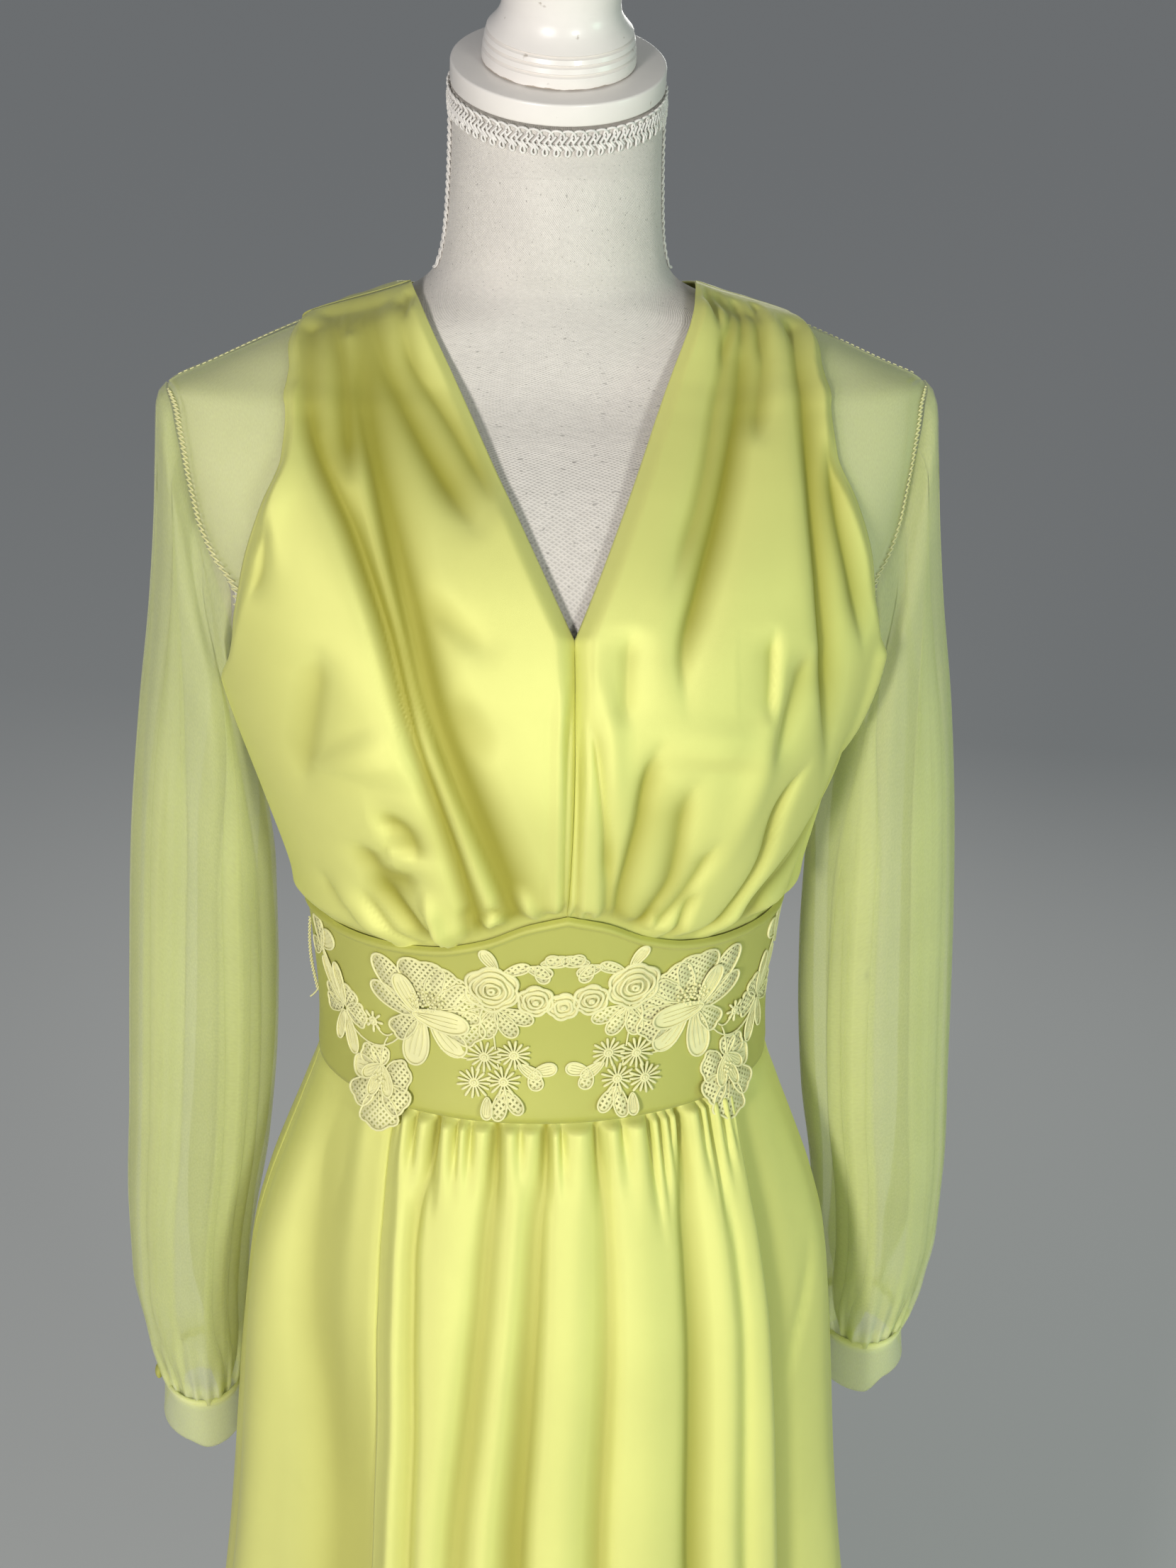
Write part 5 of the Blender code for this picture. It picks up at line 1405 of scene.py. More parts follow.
def yoke_place(side, behind):
    """Places of one yoke, between a bodice panel's edge and the armhole."""
    rows = BACK_ROWS if behind else BODICE_ROWS
    count = BACK_YOKE_ROWS if behind else YOKE_ROWS
    edge_angle = row_curve(rows, "outer_angle")
    edge_height = row_curve(rows, "outer_height")

    def place(u, v):
        u = 1 - u if (side > 0) == behind else u
        at = v * (count - 1)
        share = v * YOKE_SHARE
        inner = np.minimum(beside(edge_angle(at), edge_height(at), -0.0035), SIDE_SEAM)
        arm = np.minimum(ARMHOLE_ANGLE(share), 90.0)
        angle = mix(inner, arm, u)
        height = mix(edge_height(at), ARMHOLE_HEIGHT(share), u)
        out = -0.0006 + 0.0004 * np.sin(u * 5 + v * 9) * hump((v - 0.5) / 0.3)
        return on_body((180.0 - angle if behind else angle) * side, height, out), 0.0

    return place


def band_place(start, end):
    """Places of a piece of the band between two angles, with a rolled upper rim."""

    def place(u, v):
        angle = mix(start, end, u)
        top = BAND_TOP_AT(np.abs(np.where(angle > 180, 360 - angle, angle)))
        height = mix(top + 0.0008, WAIST - 0.0010, v)
        rim = hump((top - 0.0010 - height) / 0.0016) - hump((top + 0.0010 - height) / 0.0007)
        foot = -0.0009 * hump((height - WAIST) / 0.0020)
        ease = 0.0004 * np.sin(angle * 0.21) * hump((v - 0.5) / 0.4)
        return on_body(angle, height, 0.0010 + 0.0016 * rim + foot + ease), 0.0

    return place


def skirt_place(start_column, end_column, side, relief):
    """A skirt panel between two columns of the skirt's rows, or one and a fixed angle."""
    heights = column(SKIRT_ROWS, "height")[::-1]

    def edge(name, sign):
        values = [name if isinstance(name, float) else sign * getattr(row, name) for row in SKIRT_ROWS]
        return SmoothCurve(heights, values[::-1])

    start = edge(start_column, -1 if end_column == "right" else 1)
    end = edge(end_column, 1)

    def place(u, v):
        u = u if side > 0 else 1 - u
        height = mix(WAIST + 0.0030, HEM, v)
        angle = mix(start(height), end(height), u)
        drop = WAIST - height
        radius = (HALF_WIDTH(height) + FRONT(height)) / 2
        reach = (end(height) - start(height)) * np.pi / 180 * radius
        folds, hollow = relief(u, height, drop, reach)
        seams = hump(u * reach / 0.0022) + hump((1 - u) * reach / 0.0022)
        tuck = -0.0012 * hump(drop / 0.0025)
        sway = 0.0010 * np.sin(height * 17 + u * 6.0) * soft_step(drop / 0.2)
        joined = 0.0006 + 0.0045 * soft_step((drop - 0.10) / 0.85)
        low_down = soft_step((drop - 0.25) / 0.2)
        near_start = soft_step(u * reach / 0.020)
        near_end = soft_step((1 - u) * reach / 0.020)
        if not isinstance(start_column, float):
            near_start = mix(1.0, near_start, low_down)
        if not isinstance(end_column, float):
            near_end = mix(1.0, near_end, low_down)
        out = mix(joined, folds + sway, near_start * near_end) - SEAM_DIP * seams + tuck
        low = -DEEPEST - 0.006 * soft_step((drop - 0.03) / 0.08)
        out = np.where(out < low, low + 0.3 * (out - low), out)
        out = mix(-0.0007, out, soft_step((drop - 0.0004) / 0.0045))
        return on_body(angle * side, height, out), hollow

    return place


def centre_relief(u, height, drop, reach):
    """Folds and gathers of the centre front, with the painted shade share in their troughs."""
    lift = SmoothCurve((0, 0.07, 0.24, 1.0), (0.0016, 0.0034, 0.0052, 0.0100))(drop)
    rise = 0.0012 * hump((drop - 0.010) / 0.010)
    long_folds = drape_relief(u, height, reach, CENTRE_DRAPES)
    gathers = pinch_relief(u, drop, reach, SKIRT_PINCHES, 0.0026)
    edge = soft_step(u * reach / 0.012) * soft_step((1 - u) * reach / 0.005 + 0.4)
    folds = (lift + rise + long_folds + gathers) * edge + 0.0004
    return folds, np.clip(-(long_folds + gathers) / 0.007, 0, 1)


def side_relief(drapes, curve=()):
    """Folds of a side front, with a curved drag line on one."""
    heights = column(SKIRT_ROWS, "height")[::-1]
    seam = SmoothCurve(heights, column(SKIRT_ROWS, "right")[::-1])

    def relief(u, height, drop, reach):
        waves = drape_relief(u, height, reach, drapes)
        folds = waves + 0.0008 + 0.010 * soft_step((drop - 0.10) / 0.9)
        spots = on_body(mix(seam(height), 90.0, u), height)
        shade = 0.15 * soft_step(1 - u * 3) + 0.5 * np.clip(-waves / 0.008, 0, 1)
        return folds + crease_relief(spots, curve), shade

    return relief


def back_relief(u, height, drop, reach):
    """Even folds of a skirt back."""
    down = (np.clip(drop, 0, None) / (WAIST - HEM)) ** 0.6
    # A tenth of the painted trough shade, even over the whole back.
    return fold_wave(u, down, SKIRT_BACK_FOLDS) + 0.0006, 0.1


def armhole(share):
    """Points of the armhole seam, a share of the way round from the shoulder tip."""
    around = np.asarray(share) * 2
    down = np.where(around <= 1, around, 2 - around)
    angle = ARMHOLE_ANGLE(down)
    points = on_body(np.where(around <= 1, angle, 180.0 - angle), ARMHOLE_HEIGHT(down))
    lifted = np.stack((0.0006 + 0.0008 * down**4, 0 * down, 0.0016 * down**4), axis=-1)
    return points + lifted


def sleeve_curves(lift, reach):
    """Curves for the ring's edges over the share of the sleeve's length."""
    top, under = armhole(0.0), armhole(0.5)
    first = SleeveRow(top[0], top[2], under[0], under[2], 0.004, 0.048, 0.0)
    rows = (first,) + SLEEVE_ROWS
    count = len(SLEEVE_ROWS)
    moved = []
    for index, row in enumerate(rows):
        k = max(0, index - 1)
        up = lift * (k / (count - 1)) ** 1.5
        out = reach * min(1.0, k / (count / 2))
        moved.append(
            row._replace(
                outer_x=row.outer_x + out,
                outer_z=row.outer_z + up,
                inner_x=row.inner_x + out / 2,
                inner_z=row.inner_z + up,
            )
        )
    centres = np.array([((r.outer_x + r.inner_x) / 2, (r.outer_z + r.inner_z) / 2) for r in moved])
    lengths = np.concatenate(([0.0], np.cumsum(np.linalg.norm(np.diff(centres, axis=0), axis=1))))
    shares = lengths / lengths[-1]
    return {name: SmoothCurve(shares, column(moved, name)) for name in SleeveRow._fields}


def sleeve_ring(curves, share, v, out):
    """Points round a sleeve, with the ring's blend from the armhole to an ellipse."""
    outer = np.stack((curves["outer_x"](v), curves["middle"](v), curves["outer_z"](v)), axis=-1)
    inner = np.stack((curves["inner_x"](v), curves["middle"](v), curves["inner_z"](v)), axis=-1)
    turn = 2 * np.pi * share
    centre, across = (outer + inner) / 2, (outer - inner) / 2
    spoke = across * np.cos(turn)[:, None]
    spoke[:, 1] -= curves["depth"](v) * np.sin(turn)
    unit = spoke / np.linalg.norm(spoke, axis=1, keepdims=True)
    side = ((1 + np.cos(turn)) / 2)[:, None]
    move = mix(inner - armhole(0.5), outer - armhole(0.0), side)
    start = armhole(np.clip(share, 0, 1)) + move
    blend = curves["round"](v)[:, None]
    return mix(start, centre + spoke, blend) + unit * (out * blend[:, 0])[:, None]


def pleat_columns(pleats):
    """Columns round a sleeve: how far each has gone round and where it is in a pleat."""
    free = 1 - PLEAT_SPREAD * len(pleats)
    starts = [free * pleat.top + PLEAT_SPREAD * k for k, pleat in enumerate(pleats)]

    def split(u):
        which = np.full(len(u), -1)
        inside = np.zeros(len(u))
        for k, start in enumerate(starts):
            after = u >= start
            within = after & (u < start + PLEAT_SPREAD)
            which[within] = k
            inside[within] = (u[within] - start) / PLEAT_SPREAD
        passed = sum(np.clip(u - start, 0, PLEAT_SPREAD) for start in starts)
        return (u - passed) / free, which, inside

    return split


def sleeve_place(lift, reach, side):
    """Places of a sleeve, with its lapped pleats and waves, and the curves of its edges."""
    curves = sleeve_curves(lift, reach)
    split = pleat_columns(SLEEVE_PLEATS)

    def place(u, v):
        u = u if side > 0 else 1 - u
        share, which, inside = split(u)
        around = np.pi * (curves["depth"](v) + (curves["outer_x"](v) - curves["inner_x"](v)) / 2)
        shift = np.zeros_like(u)
        out = np.zeros_like(u)
        bright = np.zeros_like(u)
        for k, pleat in enumerate(SLEEVE_PLEATS):
            fade = soft_step((v - pleat.start) / 0.35) * soft_step((pleat.end - v) / 0.12)
            lap = pleat.lap / 1000 * fade / around
            moved = (pleat.foot - pleat.top) * v
            near = hump((share - pleat.top) / 0.05)
            shift += moved * near
            in_lap = which == k
            shift += in_lap * np.sin(2 * np.pi * inside) * lap
            step = np.where(in_lap, soft_step(inside), (share > pleat.top) * (which != k))
            settle = hump(np.clip(share - pleat.top, 0, None) / 0.055)
            out += step * np.where(in_lap, 1.0, settle) * 2 * PLEAT_STEP * fade
            turned = hump((inside - 0.25) / 0.10) + hump((inside - 0.75) / 0.10)
            bright += in_lap * (1.0 - 0.6 * turned) * fade
        for wave in SLEEVE_WAVES:
            centre = mix(wave.top, wave.foot, v)
            rise = mix(wave.high, wave.low, soft_step(v))
            out += hump((share - centre) / wave.width) * WAVE_STRENGTH * rise / 1000 * soft_step(v / 0.2)
        near_cuff = hump((1 - v) / 0.055)
        turn = share * 2 * np.pi
        ripple = np.sin(turn * CUFF_GATHERS + 1.5 * np.sin(turn * 4))
        out += ripple * 0.0016 * near_cuff * (1 - hump((1 - v) / 0.008) * 0.4)
        out += 0.0012 * hump((1 - v - 0.04) / 0.03)
        near_top = hump(v / 0.05) * hump((share - np.where(share > 0.5, 1.0, 0.0)) / 0.16)
        out += np.sin(turn * TOP_GATHERS) * 0.0008 * near_top
        tucked = soft_step((v - 0.985) / 0.015)
        points = sleeve_ring(curves, share + shift, v, out - 0.0018 * tucked)
        points[:, 2] -= 0.0040 * tucked
        # The painted light share: the gathered foot and the laps are painted lighter and made less sheer.
        full = np.clip(hump((1 - v) / 0.016) * 0.8 + 0.42 * bright, 0, 1)
        if side < 0:
            points[:, 0] *= -1
        return points, full

    return place, curves


def cuff_place(curves, side):
    """Places of a cuff, which goes on from the sleeve's foot."""
    outer_x, inner_x, outer_z, inner_z, middle, depth = (
        curves[name](1.0) for name in ("outer_x", "inner_x", "outer_z", "inner_z", "middle", "depth")
    )

    def place(u, v):
        turn = 2 * np.pi * (u if side > 0 else 1 - u)
        drop = 0.0002 + CUFF_DEPTH * v
        taper = CUFF_TAPER * v
        half = (outer_x - inner_x) / 2 - taper
        seam = 0.0011 * hump((v - 0.06) / 0.06) + 0.0005 * hump((v - 0.97) / 0.03)
        sag = 0.0012 * np.sin(turn * 2 + 0.6) * soft_step(v)
        x = (outer_x + inner_x) / 2 + (half + seam + sag) * np.cos(turn)
        y = middle - (depth - taper + seam - sag) * np.sin(turn)
        z = (outer_z + inner_z) / 2 + (outer_z - inner_z) / 2 * np.cos(turn) - drop
        step = soft_step((0.10 - np.cos(turn)) / 0.50 + 0.5)
        z = z - v**2 * (mix(-0.0045, 0.0030, step) if side > 0 else mix(-0.0012, 0.0016, step))
        # The second value is the painted light share below the cuff's upper seam, where the chiffon is
        # painted lighter and less sheer.
        return np.stack((x * side, y, z), axis=-1), 0.9 * hump((v - 0.07) / 0.10)

    return place


# Lace, drawn flat in centimetres and then laid round the band


def band_angles():
    """The angle round the band for each distance along it from the centre front."""
    height = (WAIST + float(BAND_TOP_AT(60.0))) / 2
    angles = np.arange(0, 181.5, 1.5)
    points = on_body(angles, height)
    reach = np.concatenate(([0.0], np.cumsum(np.linalg.norm(np.diff(points, axis=0), axis=1))))
    return SmoothCurve(reach, angles)


def lay_on_band(mesh):
    """Moves a flat mesh, in centimetres with its height off the band, onto the band."""
    flat = np.zeros(len(mesh.vertices) * 3)
    mesh.vertices.foreach_get("co", flat)
    flat = flat.reshape(-1, 3)
    angle = band_angles()(np.abs(flat[:, 0]) / 100) * np.sign(flat[:, 0])
    below = np.clip(1.0 - flat[:, 1] / 1.6, 0, 1)
    stand_off = 0.0030 * below**2 * (3 - 2 * below)
    out = 0.0021 + stand_off + flat[:, 2] / 100
    mesh.vertices.foreach_set("co", on_body(angle, WAIST + flat[:, 1] / 100, out).ravel())
    mesh.update()


def petal_outline(petal, turn):
    """The flat outline of a petal for angles round it, base at 0 and tip at pi."""
    share = (1 - np.cos(turn)) / 2
    x = petal.length * share
    y = -petal.width * np.sin(turn) * (0.36 + 0.32 * share)
    if petal.lobes:
        wave = np.abs(np.sin(petal.lobes * (turn - np.pi / 2)))
        swell = 1 + 0.17 * (wave - 0.62) * soft_step((share - 0.3) / 0.4)
        x = petal.length * 0.4 + (x - petal.length * 0.4) * swell
        y = y * swell * 1.12
    angle = np.radians(petal.turn)
    c, s = np.cos(angle), np.sin(angle)
    return petal.along + x * c - y * s, petal.up + x * s + y * c


class FlatLace:
    """Cords as poly splines and filled plates in bmesh, all drawn flat."""

    def __init__(self):
        self.curve = tube_curve("lace_cords", 1.0)
        self.nets = bmesh.new()
        self.solid = bmesh.new()

    def cord(self, points, radii, closed, mirrored):
        for side in (1, -1) if mirrored else (1,):
            spline = self.curve.splines.new("POLY")
            spline.points.add(len(points) - 1)
            for spot, (x, y, z), radius in zip(spline.points, points, radii):
                spot.co = (x * side, y, z, 1.0)
                spot.radius = radius
            spline.use_cyclic_u = closed

    def plate(self, grid, outline, rise, base, mirrored):
        """A domed filling: a disc whose edge follows the outline."""
        for side in (1, -1) if mirrored else (1,):
            made = bmesh.ops.create_circle(grid, cap_ends=True, segments=28, radius=1.0)
            face = made["verts"][0].link_faces[0]
            ring = bmesh.ops.inset_region(grid, faces=[face], thickness=0.4)
            hub = bmesh.ops.poke(grid, faces=[face])
            verts = set(made["verts"]) | {v for f in ring["faces"] for v in f.verts}
            verts |= set(hub["verts"])
            turns = np.linspace(0, 2 * np.pi, 73)
            edge_x, edge_y = outline(turns)
            middle_x, middle_y = edge_x.mean(), edge_y.mean()
            for vertex in verts:
                reach = min(1.0, math.hypot(vertex.co.x, vertex.co.y))
                turn = math.atan2(vertex.co.y, vertex.co.x) % (2 * math.pi)
                x = mix(middle_x, np.interp(turn, turns, edge_x), reach)
                y = mix(middle_y, np.interp(turn, turns, edge_y), reach)
                vertex.co = (x * side, y, base + rise * (1 - reach**2))


def draw_petal(lace, petal, cord, mirrored):
    """A petal or leaf: its corded rim, its filling and its ribs."""
    turns = np.linspace(0, 2 * np.pi, 33)[:-1]
    x, y = petal_outline(petal, turns)
    share = (1 - np.cos(turns)) / 2
    z = petal.out * (0.4 + 0.6 * share) + 0.02
    rim = cord * np.where(petal.width > 0.9, 1.2, 1.0) * (0.8 + 0.25 * share)
    lace.cord(list(zip(x, y, z)), rim, True, mirrored)
    grid = lace.nets if petal.fill == "net" else lace.solid
    lace.plate(grid, lambda t: petal_outline(petal, t), 0.02, petal.out * 0.7 - 0.02, mirrored)
    angle = math.radians(petal.turn)
    ribs = (0.0,) if petal.fill == "net" else (-0.24, 0.0, 0.24)
    for rib in ribs:
        steps = np.linspace(0.05, 0.80, 6)
        bow = rib * petal.width * np.sin(steps * np.pi * 0.8)
        along = steps * petal.length
        px = petal.along + along * math.cos(angle) - bow * math.sin(angle)
        py = petal.up + along * math.sin(angle) + bow * math.cos(angle)
        pz = petal.out * 0.75 + 0.02 + 0 * steps
        lace.cord(list(zip(px, py, pz)), cord * (0.65 - 0.45 * steps), False, mirrored)


def draw_round(lace, motif, cord, mirrored):
    """A daisy of finger petals or a rose of rolled rings."""
    if motif.kind == "daisy":
        for k in range(motif.count):
            angle = math.radians(motif.turn) + 2 * math.pi * k / motif.count
            length = motif.radius * (0.92 + 0.08 * math.sin(k * 2.3))
            points = []
            for share in (0.18, 0.45, 0.75, 0.95, 1.0):
                x = motif.along + length * share * math.cos(angle)
                y = motif.up + length * share * math.sin(angle)
                points.append((x, y, 0.035 + 0.03 * share - 0.02 * share**4))
            radii = [cord * r for r in (0.7, 1.05, 1.5, 1.25, 0.6)]
            lace.cord(points, radii, False, mirrored)
        rings = ((0.20, 0.06, 1.3), (0.08, 0.09, 1.3))
    else:
        rings = []
        for k in range(motif.count):
            share = 1 - k / (motif.count + 0.4)
            rings.append((motif.radius * share * 0.92, 0.03 + 0.05 * k, 1.7 - 0.2 * k))
        rings.append((motif.radius * 0.10, 0.05 + 0.05 * motif.count, 1.5))
        wide = motif.radius * 0.9

        def disc(turn):
            return motif.along + wide * np.cos(turn), motif.up + wide * np.sin(turn)

        lace.plate(lace.solid, disc, 0.06, -0.02, mirrored)
    for number, (radius, z, thick) in enumerate(rings):
        turns = np.linspace(0, 2 * np.pi, 41)[:-1]
        lobes = 6 if motif.kind == "rose" and number == 0 else 5 - min(number, 2)
        wave = np.abs(np.sin(lobes * (turns + number * 0.7 + motif.turn) / 2)) - 0.6
        reach = radius * (1 + (0.14 if motif.kind == "rose" else 0.0) * wave)
        x = motif.along + reach * np.cos(turns)
        y = motif.up + reach * np.sin(turns)
        height = z + 0.012 * np.sin(turns * 3 + number)
        lace.cord(list(zip(x, y, height)), [cord * thick] * 40, True, mirrored)


def draw_lace(cord):
    """All motifs of the lace, the stems between them and the beads."""
    lace = FlatLace()
    for petals, mirrored in ((PETALS, True), (CENTRE_PETALS, False)):
        for petal in petals:
            draw_petal(lace, petal, cord, mirrored)
    for rounds, mirrored in ((ROUNDS, True), (CENTRE_ROUNDS, False)):
        for motif in rounds:
            draw_round(lace, motif, cord, mirrored)
    for stem in STEMS:
        t = np.linspace(0, 1, 9)
        x = through_three(stem.x1, stem.x2, stem.x3, t)
        y = through_three(stem.y1, stem.y2, stem.y3, t)
        lace.cord(list(zip(x, y, 0.01 + 0 * t)), [cord * 0.9] * 9, False, True)
    golden = math.pi * (3 - math.sqrt(5))
    for along, up, wide, high, count in BEAD_PLACES:
        for k in range(count):
            reach = math.sqrt((k + 0.5) / count)
            turn = k * golden
            for side in (1, -1):
                x = (along + wide * reach * math.cos(turn)) * side
                y = up + high * reach * math.sin(turn)
                spot = Matrix.Translation((x, y, 0.10 + 0.03 * math.sin(k * 1.7)))
                bmesh.ops.create_icosphere(lace.solid, subdivisions=1, radius=BEAD_RADIUS, matrix=spot)
    return lace


def add_flat_uv(mesh):
    """A UV map from the flat lace, in metres."""
    layer = mesh.uv_layers.new(name="UVMap").data
    flat = np.zeros(len(mesh.vertices) * 3)
    mesh.vertices.foreach_get("co", flat)
    corner = np.zeros(len(mesh.loops), dtype=np.int32)
    mesh.loops.foreach_get("vertex_index", corner)
    layer.foreach_set("uv", (flat.reshape(-1, 3)[corner, :2] / 100).ravel())


def curve_mesh(curve, name):
    """The mesh of a curve's tubes."""
    holder = bpy.data.objects.new(name, curve)
    bpy.context.scene.collection.objects.link(holder)
    solved = holder.evaluated_get(bpy.context.evaluated_depsgraph_get())
    mesh = bpy.data.meshes.new_from_object(solved)
    mesh.name = name
    bpy.data.objects.remove(holder)
    mesh.shade_smooth()
    return mesh


def tube_curve(name, radius, resolution=1):
    """An empty curve whose lines become tubes."""
    curve = bpy.data.curves.new(name, "CURVE")
    curve.dimensions = "3D"
    curve.bevel_depth = radius
    curve.bevel_resolution = resolution
    curve.use_fill_caps = True
    return curve


def add_path(curve, points, closed=False):
    """Adds a line through points to a curve."""
    spline = curve.splines.new("POLY")
    spline.points.add(len(points) - 1)
    for spot, point in zip(spline.points, points):
        spot.co = (*point, 1.0)
    spline.use_cyclic_u = closed


def tube_piece(curve, finish, replaced=()):
    """The finished piece of a curve's tubes."""
    mesh = curve_mesh(curve, curve.name)
    return new_piece(mesh.name, mesh, finishes()[finish], replaced)


# Turned wood


def turned_mesh(name, rows, sides, matrix):
    """A solid of revolution spun from its half outline."""
    grid = bmesh.new()
    verts = [grid.verts.new((row.radius, 0.0, row.height)) for row in rows]
    edges = [grid.edges.new(pair) for pair in zip(verts, verts[1:])]
    bmesh.ops.spin(
        grid,
        geom=verts + edges,
        axis=(0, 0, 1),
        cent=(0, 0, 0),
        angle=2 * math.pi,
        steps=sides,
        use_merge=True,
    )
    bmesh.ops.remove_doubles(grid, verts=grid.verts, dist=0.00002)
    bmesh.ops.recalc_face_normals(grid, faces=grid.faces)
    bmesh.ops.transform(grid, matrix=matrix, verts=grid.verts)
    mesh = mesh_from(grid, name)
    mesh.set_sharp_from_angle(angle=math.radians(42))
    return mesh


# Operators


class MAXIDRESS_OT_bodice(bpy.types.Operator):
    """Bodice fronts and backs, gathered at the shoulders and into the band"""

    bl_idname = "maxi_dress.bodice"
    bl_label = "Bodice"

    def execute(self, context):
        sizes = context.scene.maxi_dress_sizes
        satin = finishes()["satin_face"]
        for side, word in ((1, "right"), (-1, "left")):
            place = bodice_front_place(side, sizes.creases)
            mesh = cloth_mesh("bodice_front_cloth_" + word, *FRONT_GRID, (0.22, 0.30), place)
            front = new_piece(mesh.name, mesh, satin, ["bodice_front_" + word])
            give_wall(front, sizes.satin)
            place = bodice_back_place(side)
            mesh = cloth_mesh("bodice_back_cloth_" + word, *BACK_GRID, (0.17, 0.30), place)
            back = new_piece(mesh.name, mesh, satin, ["bodice_back_" + word])
            give_wall(back, sizes.satin)
        return {"FINISHED"}


class MAXIDRESS_OT_yokes(bpy.types.Operator):
    """Sheer yokes over the shoulders, front and back"""

    bl_idname = "maxi_dress.yokes"
    bl_label = "Yokes"

    def execute(self, context):
        sizes = context.scene.maxi_dress_sizes
        chiffon = finishes()["yoke_chiffon"]
        for side, word in ((1, "right"), (-1, "left")):
            for behind, end in ((False, "front"), (True, "back")):
                name = "yoke_" + end + "_cloth_" + word
                mesh = cloth_mesh(name, *YOKE_GRID, (0.08, 0.13), yoke_place(side, behind))
                yoke = new_piece(name, mesh, chiffon, ["yoke_" + end + "_" + word])
                give_wall(yoke, sizes.sheer)
        return {"FINISHED"}


class MAXIDRESS_OT_band(bpy.types.Operator):
    """The shaped midriff band with its peak at the centre front"""

    bl_idname = "maxi_dress.band"
    bl_label = "Midriff band"

    def execute(self, context):
        satin = finishes()["band_satin"]
        pieces = (
            ("band_front_cloth", "band_front", -90.0, 90.0, 0.34, 150),
            ("band_back_cloth_right", "band_back_right", 90.0, 180.0, 0.17, 60),
            ("band_back_cloth_left", "band_back_left", 180.0, 270.0, 0.17, 60),
        )
        for name, node, start, end, width, across in pieces:
            place = band_place(start, end)
            mesh = cloth_mesh(name, across, BAND_ROW_COUNT, (width, 0.10), place, crowd=1.8)
            band = new_piece(name, mesh, satin, [node])
            give_wall(band, BAND_WALL)
        return {"FINISHED"}


class MAXIDRESS_OT_skirt(bpy.types.Operator):
    """The gathered centre front, two smooth side fronts and two backs"""

    bl_idname = "maxi_dress.skirt"
    bl_label = "Skirt"

    def execute(self, context):
        sizes = context.scene.maxi_dress_sizes
        satin = finishes()["satin_face"]
        right_relief = side_relief(SIDE_DRAPES_RIGHT, SIDE_CURVE)
        left_relief = side_relief(SIDE_DRAPES_LEFT)
        panels = (
            ("centre_cloth", "front_centre", "left", "right", 1, centre_relief, 220, 120, 0.52, 0.37),
            ("side_cloth_right", "side_front_right", "right", 90.0, 1, right_relief, 60, 96, 0.26, 0.19),
            ("side_cloth_left", "side_front_left", "left", 90.0, -1, left_relief, 60, 96, 0.26, 0.20),
            ("back_cloth_right", "back_right", 90.0, 180.0, 1, back_relief, 72, 84, 0.46, 0.33),
            ("back_cloth_left", "back_left", 90.0, 180.0, -1, back_relief, 72, 84, 0.46, 0.33),
        )
        length = 1.04
        for name, node, start, end, side, relief, across, down, width, area in panels:
            name, node = "skirt_" + name, "skirt_" + node
            place = skirt_place(start, end, side, relief)
            mesh = cloth_mesh(name, across, down, (width * 0.8, length), place, crowd=1.7)
            panel = new_piece(name, mesh, satin, [node])
            give_wall(panel, sizes.satin)
        return {"FINISHED"}


class MAXIDRESS_OT_sleeves(bpy.types.Operator):
    """Full sheer sleeves gathered to narrow cuffs, each with a covered button"""

    bl_idname = "maxi_dress.sleeves"
    bl_label = "Sleeves and cuffs"

    def execute(self, context):
        sizes = context.scene.maxi_dress_sizes
        materials = finishes()
        sleeves = (
            (1, "right", RIGHT_SLEEVE_LIFT, RIGHT_SLEEVE_REACH),
            (-1, "left", 0.0, 0.0),
        )
        for side, word, lift, reach in sleeves:
            place, curves = sleeve_place(lift, reach, side)
            name = "sleeve_cloth_" + word
            mesh = cloth_mesh(name, *SLEEVE_GRID, (0.30, 0.62), place, ring=True)
            chiffon = materials["sleeve_chiffon"]
            sleeve = new_piece(name, mesh, chiffon, ["sleeve_" + word])
            give_wall(sleeve, sizes.sheer)
            name = "cuff_cloth_" + word
            place = cuff_place(curves, side)
            mesh = cloth_mesh(name, *CUFF_GRID, (0.19, CUFF_DEPTH), place, ring=True)
            cuff = new_piece(name, mesh, materials["cuff_chiffon"], ["cuff_" + word])
            give_wall(cuff, CUFF_WALL)
            foot = [float(curves[column_name](1.0)) for column_name in ("outer_x", "middle", "outer_z")]
            self.button(side, word, foot)
        return {"FINISHED"}

    def button(self, side, word, foot):
        """A covered button at the outer side of a sleeve's foot."""
        grid = bmesh.new()
        bmesh.ops.create_uvsphere(grid, u_segments=20, v_segments=12, radius=BUTTON_RADIUS)
        bmesh.ops.scale(grid, vec=BUTTON_SHAPE, verts=grid.verts)
        seat = (side * (foot[0] + BUTTON_SEAT), foot[1], foot[2] - BUTTON_DROP)
        bmesh.ops.translate(grid, vec=seat, verts=grid.verts)
        mesh = mesh_from(grid, "button_cloth_" + word)
        mesh.uv_layers.new(name="UVMap")
        new_piece(mesh.name, mesh, finishes()["band_satin"], ["cuff_button_" + word])


